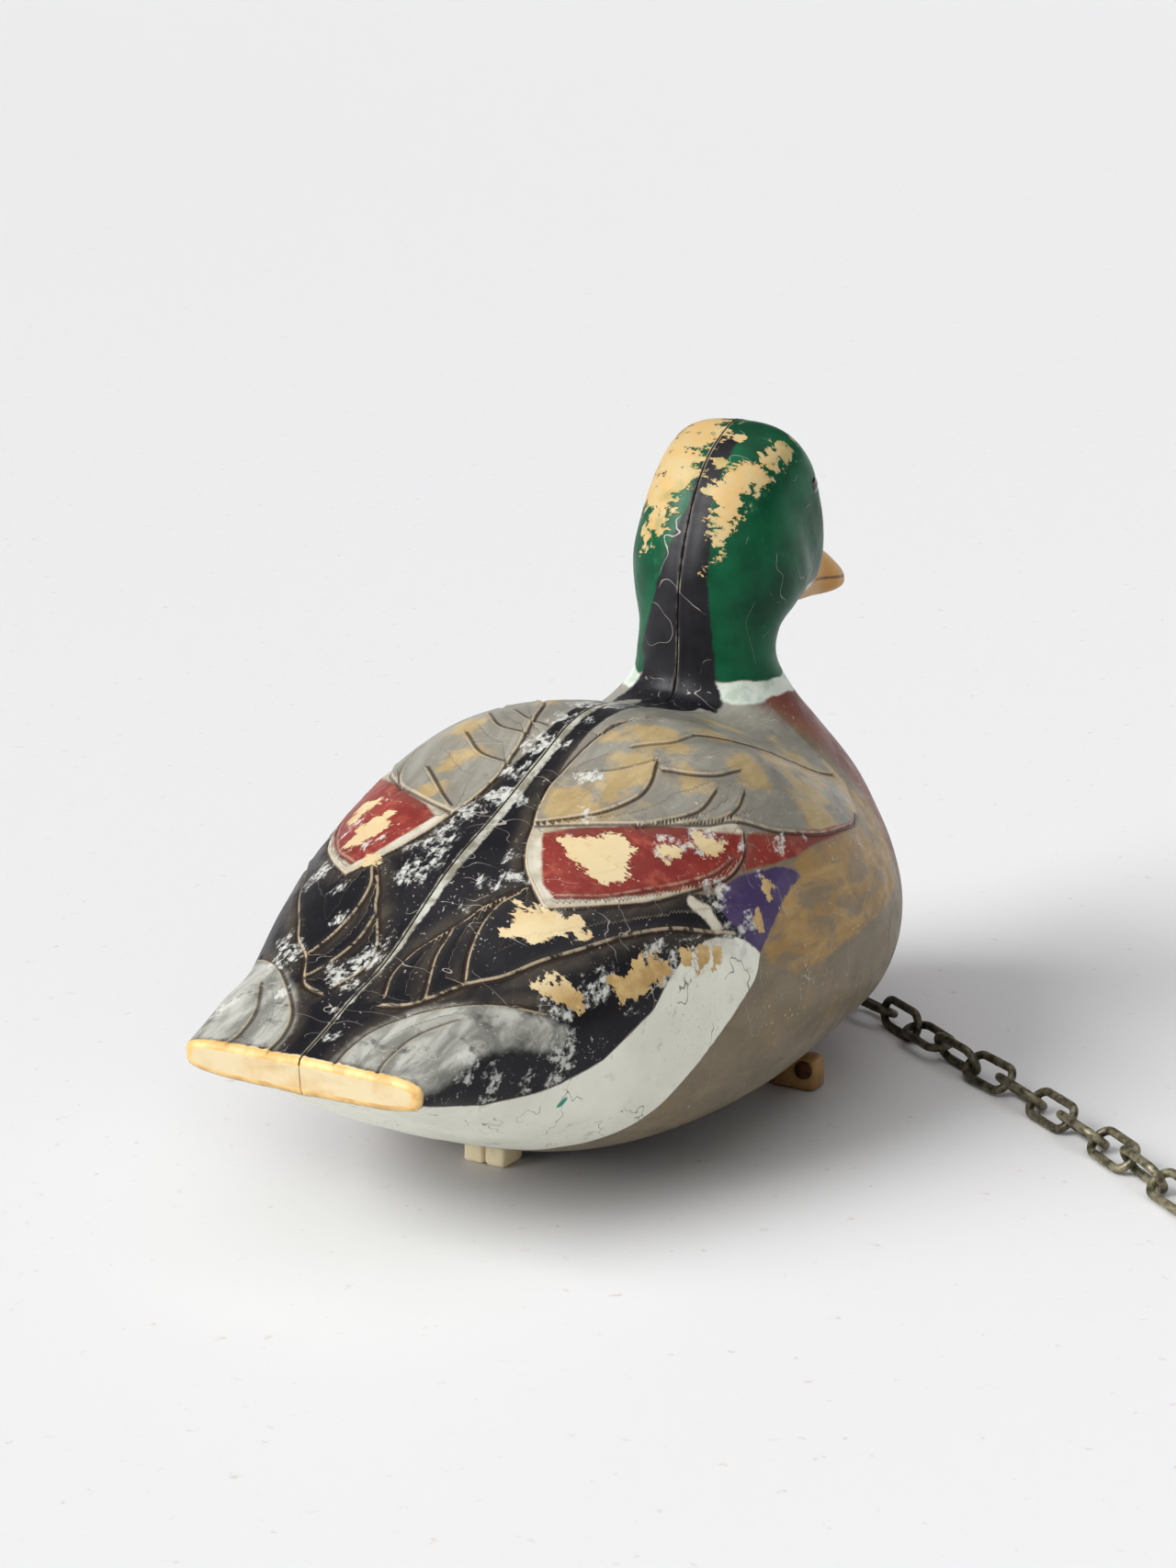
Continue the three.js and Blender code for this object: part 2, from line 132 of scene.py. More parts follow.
# (points, side or "both", strength)
LINES = [
    (WING_EDGE, "both", 1.0),
    (TOP_LINE, "both", 0.9),
    (BAR_LINE, "both", 1.0),
    ([(88, 38), (97, 50), (108, 59), (121, 68), (133, 74), (143, 76)], "both", 0.5),
    (PRIMARY_EDGE, "both", 1.0),
    (PRIMARY_1, "both", 0.9),
    (PRIMARY_2, "both", 0.9),
    (PRIMARY_3, "both", 0.8),
    (TAIL_ARC, "both", 0.9),
    (TAIL_LINE, "both", 0.7),
    ([(114, 15), (125, 30), (137, 38), (146, 39), (156, 36)], "right", 1.0),
    ([(156, 36), (146, 27), (140, 16)], "right", 0.5),
    ([(128, 45), (140, 54), (149, 58), (159, 58)], "both", 0.9),
    ([(140, 57), (151, 65), (160, 67), (168, 65)], "right", 0.9),
    ([(154, 40), (159, 49), (166, 55), (176, 58)], "right", 0.9),
    ([(158, 26), (168, 35), (178, 37)], "right", 0.7),
    ([(160, 13), (167, 14), (178, 19)], "right", 0.6),
    ([(180, 37), (196, 45), (220, 54), (247, 64)], "both", 0.9),
    ([(172, 38), (159, 26), (154, 12)], "left", 0.9),
    ([(157, 38), (144, 24), (139, 10)], "left", 0.9),
    ([(171, 27), (163, 17), (159, 7)], "left", 0.8),
    ([(139, 42), (123, 26), (116, 18)], "left", 0.9),
]

BLACK = WING_EDGE[7:] + [(92, 49), (106, 62), (121, 72), (129, 79), (134, 92),
    (137, 104)] + WHITE_EDGE[-2::-1] + [(-10, 46), (-10, -20), (262, -20)]
SPECULUM = [(110, 20), (116, 27), (123, 38), (134, 52), (146, 67), (154, 74), (151, 78), (142, 80),
    (131, 78), (119, 69), (107, 60), (94, 48), (87, 38), (90, 32), (99, 26)]
SPECULUM_TIP = [(155, 75), (170, 84), (193, 89.5), (215, 88.5), (232, 84), (222, 90), (195, 93),
    (170, 92), (158, 88), (144, 81)]
PURPLE = [(131, 79), (139, 80), (152, 86), (165, 93), (169, 98), (157, 98), (146, 101), (137, 104),
    (131, 95), (127, 83)]
WHITE = WHITE_EDGE + [(133, 109), (122, 112), (110, 115), (100, 118), (91, 123), (78, 131), (62, 300),
    (-10, 300), (-10, 46)]
COVERTS = [(200, 3), (118, 3)] + WING_EDGE[8:] + BAR_LINE[1:] + [(169, 82), (190, 90), (208, 90),
    (222, 88), (240, 82), (252, 70), (249, 37), (243, 3)]
FLANK = [(137, 104), (146, 101), (157, 98), (169, 98), (165, 93), (195, 93), (222, 90), (238, 82),
    (249, 72), (262, 80), (263, 92), (252, 106), (240, 117), (225, 124), (200, 128), (175, 128),
    (155, 122), (143, 112)]
BREAST = [(240, 6), (249, 37), (256, 51), (262, 70), (264, 86), (256, 102), (256, 300), (420, 300),
    (420, -20), (240, -20)]
TAIL_PATCH = [(3, 10), (14, 11), (26, 18), (34, 25), (43, 36), (51, 50), (60, 64), (56, 67), (48, 61),
    (38, 54), (26, 49), (8, 47), (2, 44)]

MARGIN = WING_EDGE[8:] + BAR_LINE[1:] + TOP_LINE[5::-1]
WHITE_BAR = [(117, 73), (120, 72), (124, 79), (125, 87), (121, 88), (120, 81)]
PAINTED = {"purple": PURPLE, "white": WHITE, "coverts": COVERTS, "flank": FLANK, "breast": BREAST,
    "tail_patch": TAIL_PATCH, "margin": MARGIN, "bar": WHITE_BAR}
DOT_AT, DOT_RADIUS = (57, 84), 1.4  # fleck of teal paint on the right flank
# Pale strip worn beside the back seam, on the right: its girth starts just over the seam.
WORN_SEAM = [(215, -0.5), (210, 1.2), (190, 2.2), (165, 2.6), (140, 2.9), (120, 3.2), (104, 3.4),
    (88, 3.2), (72, 2.6), (60, 1.8), (40, 1.1), (20, 0.8), (20, -0.5)]

# Paint flaked off down to the plastic: outlines on the skin, by side.
FLAKED = {
    "right": [
        [(109, 27), (114, 32), (120, 42), (119, 51), (112, 50), (110, 55), (101, 49), (102, 40), (104, 31)],
        [(69, 30), (79, 29), (82, 37), (82, 46), (86, 55), (76, 46), (70, 37)],
        [(67, 51), (68, 56), (69, 65), (64, 64), (61, 54), (59, 47)],
        [(80, 67), (88, 71), (99, 77), (99, 83), (88, 80), (80, 74)],
        [(134, 60), (141, 64), (146, 71), (141, 73), (135, 67)],
    ],
    "left": [
        [(99, 36), (106, 34), (112, 42), (110, 52), (102, 50), (97, 43)],
        [(121, 50), (127, 52), (126, 62), (118, 62)],
        [(86, 26), (92, 27), (90, 34), (86, 33)],
    ],
}

# Worn places: (along, girth, radius), the girth negative on the left side.
BARE = [(126, 58, 3), (75, 38, 5), (84, 49, 3), (90, 72, 3), (105, 84, 3), (112, 88, 3), (118, 92, 3),
    (102, -46, 5), (112, -40, 3), (120, -60, 4), (86, -28, 3), (140, 96, 2.5), (150, 92, 2.5)]
SCUFFED = [(130, 55, 5), (138, 62, 5), (144, 68, 5), (124, 57, 4), (113, 30, 4), (150, 90, 4),
    (137, 94, 4), (108, -44, 5), (116, -54, 6), (98, -36, 5), (122, -48, 5), (166, 86, 4), (180, 88, 4),
    (95, -10, 11), (106, -12, 8), (84, -13, 9), (113, -9, 7), (96, -17, 6), (82, 17, 6), (97, 15, 9),
    (106, 13, 7), (90, 20, 6), (74, 12, 5), (61, -44, 7), (52, -38, 7), (45, -36, 5), (74, -38, 8),
    (63, -26, 7), (88, -52, 7), (52, -8, 8), (43, -12, 7), (58, -5, 6), (34, -5, 5), (24, -3, 4),
    (124, -5, 7), (136, -4, 8), (150, -4, 9), (165, -4, 9), (180, -4, 9), (195, -4, 9), (210, -3, 8),
    (150, 2, 5), (166, 3, 5), (182, 3, 6), (198, 4, 7), (122, 6, 4), (12, 3, 6), (70, 7, 4), (77, 36, 9),
    (82, 44, 8), (62, 56, 8), (70, 62, 8), (78, 67, 8), (90, 74, 9), (100, 80, 8), (108, 86, 8),
    (120, 92, 7), (128, 96, 6), (122, 30, 4), (140, 20, 4), (30, 60, 7), (20, 48, 7), (42, 66, 7),
    (55, 72, 8), (131, 78, 5), (150, 76, 5), (28, -24, 6), (20, -40, 7), (36, -8, 5)]
OCHRE = [(140, 28, 12), (126, 24, 10), (165, 27, 11), (205, 72, 13), (198, 84, 12), (208, 56, 9),
    (226, 52, 12), (246, 73, 13), (237, 84, 13), (222, 62, 12), (182, 60, 9), (156, 50, 8), (152, 30, 9),
    (215, 30, 10), (190, 40, 8), (140, -30, 9), (160, -40, 9), (200, -50, 14), (230, -70, 14),
    (125, -30, 6), (180, -20, 8)]

# Places of the head rubbed down to the plastic: along, out, up, radius.
HEAD_WORN = [(272, -10, 217, 12), (264, -12, 212, 13), (257, -12, 207, 13), (252, -13, 201, 12), (249,
    -14, 195, 10), (247, -15, 188, 8), (266, -22, 208, 10), (256, -22, 198, 8), (245, -17, 181, 6), (244,
    -12, 185, 5), (252, -5, 204, 5), (283, -14, 216, 8), (272, 21, 211, 4.5), (266, 20, 210, 5), (258, 17,
    205, 6), (254, 14, 202, 7), (249, 12, 197, 7.5), (245, 11, 191, 6.5), (243, 11, 184, 5), (242, 13,
    179, 3.5), (256, 5, 208, 3), (249, 5, 199, 3.4), (240, 9, 174, 3.4), (267, 7, 215, 2.4), (280, 18,
    212, 4), (244, -22, 176, 3)]
NEAR_SEAM = 12  # worn places that lie closer to the back seam than this spread over both sides

# ---------------------------------------------------------------- small helpers


def place(along, out, up):
    """Duck measures in millimetres to the frame in metres."""
    return np.stack(np.broadcast_arrays(-np.asarray(out, float), LENGTH / 2 - np.asarray(along, float),
                                        np.asarray(up, float)), -1) * MM


def linear(*srgb):
    """An sRGB colour, 0 to 255, as the linear RGBA that nodes take."""
    c = np.array(srgb, float) / 255
    lin = np.where(c <= 0.04045, c / 12.92, ((c + 0.055) / 1.055) ** 2.4)
    return (*[float(x) for x in lin], 1.0)


def catmull(points, steps):
    """Points on the Catmull-Rom curve through the given ones, "steps" (a number or one per gap)."""
    p = np.asarray(points, float)
    p = np.vstack([2 * p[0] - p[1], p, 2 * p[-1] - p[-2]])
    gaps = len(p) - 3
    steps = [steps] * gaps if np.isscalar(steps) else steps
    made = []
    for i, n in zip(range(1, gaps + 1), steps):
        a, b, c, d = p[i - 1 : i + 3]
        t = (np.arange(n) / n)[:, None]
        made.append(0.5 * (2 * b + (c - a) * t + (2 * a - 5 * b + 4 * c - d) * t**2
                           + (3 * b - a - 3 * c + d) * t**3))
    return np.vstack([*made, p[-2]])


def section_point(row, turn, inset):
    """Points of a cross section on the duck's right: turn 0 at the back, pi at the belly."""
    back_along, back_up, belly_along, belly_up, half, widest, over, under = row
    height = math.hypot(back_along - belly_along, back_up - belly_up)
    c = np.cos(turn)
    power = np.where(c >= 0, 2 / over, 2 / under)
    out = max(half - inset, 0.2) * np.abs(np.sin(turn)) ** power
    reach = np.abs(c) ** power
    edge = min(inset / height, 0.45)
    mid = edge + (1 - 2 * edge) * widest
    h = np.where(c >= 0, mid + (1 - edge - mid) * reach, mid - (mid - edge) * reach)
    return np.stack([belly_along + (back_along - belly_along) * h, out,
                     belly_up + (back_up - belly_up) * h], -1)


def along_ring(row, wanted, inset=0.0):
    """Points of a cross section at the wanted distances from the back seam, or at even shares."""
    fine = section_point(row, np.linspace(0, np.pi, 500), inset)
    run = np.r_[0, np.cumsum(np.linalg.norm(np.diff(fine, axis=0), axis=1))]
    girth = wanted(run[-1]) if callable(wanted) else np.linspace(0, run[-1], wanted)
    points = np.stack([np.interp(girth, run, fine[:, k]) for k in range(3)], -1)
    return points, girth


def columns(total):
    """Girths of the outer grid's columns: close together by the seams and over the feathers."""
    scale = min(1.0, total / 30)
    near = np.array(SEAM_STEPS) * scale
    fine_to = min(FINE_GIRTH, 0.7 * total)
    fine = np.linspace(near[-1], fine_to, FINE_COLUMNS + 1)[1:]
    plain = np.linspace(fine_to, total - near[-1], PLAIN_COLUMNS + 1)[1:]
    return np.r_[near, fine, plain, (total - near[:-1])[::-1]]


def polyline_distance(points, line):
    """Signed distance to a polyline, and how far past its ends a point lies."""
    best = np.full(len(points), 1e9)
    sign = np.ones(len(points))
    past = np.zeros(len(points))
    for i in range(len(line) - 1):
        a, b = line[i], line[i + 1]
        step = b - a
        size = float(step @ step)
        t = (points - a) @ step / size
        near = a + np.clip(t, 0, 1)[:, None] * step
        d = np.linalg.norm(points - near, axis=1)
        closer = d < best
        best = np.where(closer, d, best)
        side = step[0] * (points[:, 1] - a[1]) - step[1] * (points[:, 0] - a[0])
        sign = np.where(closer, np.where(side >= 0, 1.0, -1.0), sign)
        over = np.zeros(len(points))
        if i == 0:
            over = np.maximum(over, -t * math.sqrt(size))
        if i == len(line) - 2:
            over = np.maximum(over, (t - 1) * math.sqrt(size))
        past = np.where(closer, over, past)
    return best * sign, past


def field(points, outline):
    """Signed distance to a closed outline, positive inside."""
    ring = np.asarray(outline, float)
    closed = np.vstack([ring, ring[:1]])
    d = np.abs(polyline_distance(points, closed)[0])
    inside = np.zeros(len(points), bool)
    x, y = points.T
    for (ax, ay), (bx, by) in zip(closed[:-1], closed[1:]):
        crosses = (ay > y) != (by > y)
        if by != ay:
            inside ^= crosses & (x < (bx - ax) * (y - ay) / (by - ay) + ax)
    return np.where(inside, d, -d)


def wander(points, reach, size):
    """The points shifted about by a smooth noise, so that what is measured from them is irregular."""
    shift = [[noise.noise(Vector((x / size, y / size, z))) for z in (0.5, 7.5)] for x, y in points]
    return points + reach * np.array(shift)


def flaked(points, word):
    """How deep each point lies inside the flaked outlines: 0.66 on their edge, more inside."""
    worn = np.full(len(points), -9.0)
    for outline in FLAKED[word]:
        worn = np.maximum(worn, field(points, outline))
    return np.clip(0.66 + worn / 6, -0.2, 1.4)


def worn_round(points, places, most):
    """How worn the places, each a position and a radius, make each point: 0 outside them."""
    worn = np.zeros(len(points))
    for *at, radius in places:
        d = np.linalg.norm(points - at, axis=1)
        worn = np.maximum(worn, most * np.clip(1 - d / (1.9 * radius), 0, 1))
    return worn


def blobs(points, places, side):
    """Wear of the chart round those places that lie on this side or next to the back seam."""
    near = [(along, girth * side, radius) for along, girth, radius in places
            if girth * side > 0 or abs(girth) < NEAR_SEAM]
    return worn_round(points, near, 1.3)


# ---------------------------------------------------------------- painted skin


def skin_rows():
    """Dense cross sections, and the station number of each."""
    step = np.abs(np.diff(STATIONS[:, :4], axis=0))
    reach = np.maximum(np.hypot(step[:, 0], step[:, 1]), 0.75 * np.hypot(step[:, 2], step[:, 3]))
    counts = [max(4, round(r / ROW_STEP)) for r in reach]
    number = np.concatenate([i + np.arange(n) / n for i, n in enumerate(counts)] + [[len(counts)]])
    return catmull(STATIONS, counts), number


def skin_grid():
    """The smooth outer surface of the duck's right half, with its chart (along, girth)."""
    rows, number = skin_rows()
    grid, girth = [], []
    for row in rows:
        inset = 0.0
        if row[0] < TAIL_ROUND:
            lean = 1 - max(row[0], 0) / TAIL_ROUND
            inset = TAIL_ROUND * (1 - math.sqrt(max(0.0, 1 - lean * lean)))
        points, run = along_ring(row, columns, inset)
        grid.append(points)
        girth.append(run)
    return np.array(grid), np.array(girth), rows, number


def normals_of(grid):
    """Outward unit normals of the right half's grid in duck measures."""
    down = np.gradient(grid, axis=1)
    along = np.gradient(grid, axis=0)
    n = np.cross(along, down)
    n[:, 0, 1] = n[:, -1, 1] = 0
    size = np.linalg.norm(n, axis=-1, keepdims=True)
    n = n / np.maximum(size, 1e-9)
    middle = grid.mean(axis=1, keepdims=True)
    flip = np.sign(np.sum(n * (grid - middle), axis=-1).mean(axis=1))
    return n * flip[:, None, None]


def head_fields(grid, side, number):
    """Paint of the neck and head, from the height and the place round it."""
    on_neck = np.repeat((number - 13.4) * 6, grid.shape[1])
    along, out, up = (grid[..., k].ravel() for k in range(3))
    lateral = out * side  # to the duck's right
    left = np.interp(up, [128, 137, 153, 172, 186, 194, 217], [-24, -20, -14, -8, -4.5, -1.5, -1])
    right = np.interp(up, [128, 135, 160, 171, 185, 194, 212], [18, 13.5, 11, 10, 9.5, 7, 7.5])
    stripe = np.minimum(lateral - left, right - lateral)
    behind = np.clip((268 + 0.35 * (up - 215) - along) * 0.8, -20, 20)
    stripe = np.minimum(stripe, behind)
    wavy = 1.2 * np.sin(along * 0.21 + 1.3 * side) + 0.7 * np.sin(along * 0.57)
    green = np.minimum(up - (134.5 + wavy * 0.6), on_neck)
    bill = np.minimum(along - (305 + 0.16 * (up - 170)) - 0.004 * (out**2), up - 143)
    ring = 3.1 - np.abs(up - 131.5) + 0.4 * wavy
    ring = np.minimum(ring, on_neck + 6)
    chin = 7 - np.hypot((along - 301) * 0.6, up - 152)
    nostril = 1.5 - np.hypot((along - 319) * 0.5, up - 167 + 0.5 * (along - 319))
    gape = 0.45 - np.abs(up - (158 - 0.14 * (along - 305)))
    mouth = np.minimum(np.maximum(nostril, np.minimum(gape, 343 - along)), bill)
    stripe = np.minimum(stripe, on_neck + 12)
    return {"stripe": stripe, "green": green, "ring": ring, "bill": bill, "chin": chin,
            "mouth": mouth}


def head_wear(grid, side):
    """Places of the head rubbed down to the plastic."""
    along, out, up = (grid[..., k].ravel() for k in range(3))
    return worn_round(np.stack([along, out * side, up], -1), HEAD_WORN, 1.204)


def relief(chart, word):
    """Moulded feather lines: signed distance to the nearest one, its strength, and the height."""
    nearest = np.full(len(chart), 9.0)
    strength = np.zeros(len(chart))
    height = np.zeros(len(chart))
    for points, where, weight in LINES:
        if where not in ("both", word):
            continue
        line = catmull(points, 8)
        box = (chart[:, 0] > line[:, 0].min() - 9) & (chart[:, 0] < line[:, 0].max() + 9)
        box &= (chart[:, 1] > line[:, 1].min() - 9) & (chart[:, 1] < line[:, 1].max() + 9)
        d, past = polyline_distance(chart[box], line)
        fade = weight * np.clip(1 - past / 2.5, 0, 1)
        height[box] += fade * (0.35 * np.exp(-(((d + 1.0) / 0.9) ** 2))
                               - 0.6 * np.exp(-(((d - 0.6) / 0.9) ** 2)))
        take = np.abs(d) < np.abs(nearest[box])
        nearest[box] = np.where(take, d, nearest[box])
        strength[box] = np.where(take, fade, strength[box])
    return nearest, strength, height


def gentle_lumps(points):
    """Slight unevenness of the moulding, in millimetres."""
    return np.array([0.35 * noise.noise(Vector(p) * 22) + 0.12 * noise.noise(Vector(p) * 75)
                     for p in points * MM])


def on_own_side(rings):
    """Puts both ends of each ring on the seam's face and holds the points between clear of it."""
    rings[..., (0, -1), 1] = HALF_GAP
    rings[..., 1] = np.maximum(rings[..., 1], HALF_GAP)
    return rings


def half_skin(word, grid, girth, rows, number):
    """One half shell as a closed mesh with its paint fields: relief outside, plain wall inside."""
    side = SIDE_SIGN[word]
    chart = np.stack([grid[..., 0].ravel(), girth.ravel()], -1)
    signed_chart = chart * (1, side)
    loose = wander(chart, 2.6, 9.0)
    nearest, strength, height = relief(chart, word)
    on_body = np.clip((19 - np.repeat(number, grid.shape[1])) / 4, 0, 1)
    height *= on_body
    total = girth[:, -1:]
    to_back, to_belly = girth, total - girth
    seam = np.minimum(to_back, to_belly)
    ridge = 0.35 * np.exp(-((seam / 2.2) ** 2)) - 0.3 * np.exp(-((seam / 0.5) ** 2))
    lift = height.reshape(girth.shape) + ridge + gentle_lumps(grid.reshape(-1, 3)).reshape(girth.shape)
    lift[0] *= 0.3
    lift *= np.clip((LENGTH - grid[..., 0]) / 6, 0.1, 1)
    outer = on_own_side(grid + normals_of(grid) * lift[..., None])
    outer[..., 2] = np.maximum(outer[..., 2], 4.0)

    n_rows, n_cols = girth.shape
    first = int(np.searchsorted(number, 0.5))
    last = int(np.searchsorted(number, HOLLOW_TO))
    inner = on_own_side(np.array([along_ring(rows[i], 15, WALL)[0] for i in range(first, last + 1)]))
    n_in = inner.shape[1]
    tail = [on_own_side(outer[0] + (outer[0].mean(0) - outer[0]) * s) for s in (0.12, 0.4, 0.75)]
    all_points = np.vstack([outer.reshape(-1, 3), inner.reshape(-1, 3), *tail])
    base_in = n_rows * n_cols
    base_tail = base_in + inner.shape[0] * n_in
    out_id = np.arange(base_in).reshape(n_rows, n_cols)
    in_id = base_in + np.arange(inner.shape[0] * n_in).reshape(-1, n_in)

    def quads(ids):
        return np.stack([ids[:-1, :-1], ids[1:, :-1], ids[1:, 1:], ids[:-1, 1:]], -1).reshape(-1, 4)

    faces = quads(out_id)[:, ::-1].tolist() + quads(in_id).tolist()
    rings = [out_id[0]] + [base_tail + k * n_cols + np.arange(n_cols) for k in range(len(tail))]
    for a, b in zip(rings[:-1], rings[1:]):
        faces += quads(np.stack([a, b])).tolist()
    for end in (rings[-1], out_id[-1][::-1], in_id[0][::-1], in_id[-1]):
        faces.append(end.tolist())
    for edge, flip in ((0, False), (-1, True)):
        strip = quads(np.stack([out_id[first : last + 1, edge], in_id[:, edge]], 1))
        faces += (strip[:, ::-1] if flip else strip).tolist()
    for i in [*range(first - 1), *range(last + 1, n_rows - 1)]:
        corners = (out_id[i + 1, 0], out_id[i + 1, -1], out_id[i, -1], out_id[i, 0])
        faces.append([int(k) for k in corners])
    for solid_row, open_row, ring in ((first - 1, first, in_id[0]), (last + 1, last, in_id[-1])):
        loop = [out_id[solid_row, 0], out_id[open_row, 0], ring[0], ring[-1], out_id[open_row, -1],
                out_id[solid_row, -1]]
        faces.append([int(k) for k in (loop if solid_row < open_row else loop[::-1])])
    for a, b in zip(rings[:-1], rings[1:]):
        faces.append([int(a[0]), int(b[0]), int(b[-1]), int(a[-1])])

    positions = place(all_points[:, 0], all_points[:, 1] * side, all_points[:, 2])
    if side < 0:
        faces = [f[::-1] for f in faces]
    made = mesh_object(word + "_shell_skin", positions, faces, plumage, sharp=50)

    fields = {
        "black": np.maximum(field(chart, BLACK), field(chart, BACK_STRIPE[word] + [(125, -20), (262, -20)])),
        "speculum": np.maximum(field(chart, SPECULUM), field(chart, SPECULUM_TIP)),
        **{name: field(chart, outline) for name, outline in PAINTED.items()},
        "line": nearest, "line_strength": strength * on_body,
        "bare": np.maximum(np.maximum(blobs(loose, BARE, side), flaked(loose, word)) * on_body,
                           head_wear(grid, side) * (1 - on_body)),
        "scuffed": blobs(loose, SCUFFED, side) * on_body, "ochre": blobs(loose, OCHRE, side),
        "seam": np.minimum(to_back, 9).ravel(),
        "tail_end": 2.2 - grid[..., 0].ravel(),
        "dot": DOT_RADIUS - np.hypot(*(signed_chart - DOT_AT).T),
        "worn_seam": field(signed_chart, WORN_SEAM),
        **head_fields(grid, side, number),
    }
    off_skin = {"tail_end": 5.0, "line": 9.0, "seam": 9.0, "bare": 0.0, "scuffed": 0.0, "ochre": 0.0,
                "line_strength": 0.0}
    for key, values in fields.items():
        rest = np.full(len(all_points) - base_in, off_skin.get(key, -9.0))
        full = np.r_[values, rest].astype(np.float32)
        made.data.attributes.new(key, "FLOAT", "POINT").data.foreach_set("value", full)
    return made


# ---------------------------------------------------------------- materials


class Shader:
    """Builds a procedural material: each method adds a node and returns its output."""

    def __init__(self, name):
        self.material = bpy.data.materials.new(name)
        self.material.use_nodes = True
        self.tree = self.material.node_tree
        self.bsdf = self.tree.nodes["Principled BSDF"]
        self.coords = self.tree.nodes.new("ShaderNodeTexCoord").outputs["Object"]

    def put(self, socket, value):
        if isinstance(value, bpy.types.NodeSocket):
            self.tree.links.new(value, socket)
        else:
            socket.default_value = value

    def set(self, **values):
        for key, value in values.items():
            self.put(self.bsdf.inputs[key.replace("_", " ")], value)

    def math(self, operation, a, b=0.0, c=0.0, clamp=False):
        node = self.tree.nodes.new("ShaderNodeMath")
        node.operation, node.use_clamp = operation, clamp
        for socket, value in zip(node.inputs, (a, b, c)):
            self.put(socket, value)
        return node.outputs[0]

    def mix(self, share, a, b):
        """Blend of two colours, each an sRGB tuple from 0 to 255 or an output of a node."""
        node = self.tree.nodes.new("ShaderNodeMix")
        node.data_type = "RGBA"
        self.put(node.inputs[0], share)
        for socket, colour in ((node.inputs[6], a), (node.inputs[7], b)):
            self.put(socket, linear(*colour) if isinstance(colour, tuple) else colour)
        return node.outputs[2]

    def add(self, a, b):
        return self.math("ADD", a, b)

    def times(self, a, b):
        return self.math("MULTIPLY", a, b)

    def both(self, a, b):
        """Where two masks overlap."""
        return self.math("MULTIPLY", a, b, clamp=True)

    def centred(self, value, reach):
        """A noise made to run from -reach / 2 to reach / 2."""
        return self.math("MULTIPLY_ADD", value, reach, -0.5 * reach)

    def tint(self, value, low, high, below, above):
        """One colour where the value is below low, the other where it is above high."""
        return self.mix(self.step(value, low, high), below, above)

    def field(self, name):
        node = self.tree.nodes.new("ShaderNodeAttribute")
        node.attribute_name = name
        return node.outputs["Fac"]

    def stretch(self, scale, turn=(0, 0, 0)):
        node = self.tree.nodes.new("ShaderNodeMapping")
        self.put(node.inputs["Vector"], self.coords)
        node.inputs["Scale"].default_value = scale
        node.inputs["Rotation"].default_value = turn
        return node.outputs[0]

    def noise(self, scale, detail=4.0, rough=0.55, at=None, bend=0.0):
        node = self.tree.nodes.new("ShaderNodeTexNoise")
        self.put(node.inputs["Vector"], self.coords if at is None else at)
        node.inputs["Scale"].default_value = scale
        node.inputs["Detail"].default_value = detail
        node.inputs["Roughness"].default_value = rough
        node.inputs["Distortion"].default_value = bend
        return node.outputs["Fac"]

    def step(self, value, low, high):
        """0 below low, 1 above high, smooth between."""
        node = self.tree.nodes.new("ShaderNodeMapRange")
        node.interpolation_type = "SMOOTHSTEP"
        self.put(node.inputs["Value"], value)
        self.put(node.inputs["From Min"], low)
        self.put(node.inputs["From Max"], high)
        return node.outputs["Result"]

    def bump(self, height, strength, distance):
        node = self.tree.nodes.new("ShaderNodeBump")
        self.put(node.inputs["Height"], height)
        node.inputs["Strength"].default_value = strength
        node.inputs["Distance"].default_value = distance
        return node.outputs["Normal"]


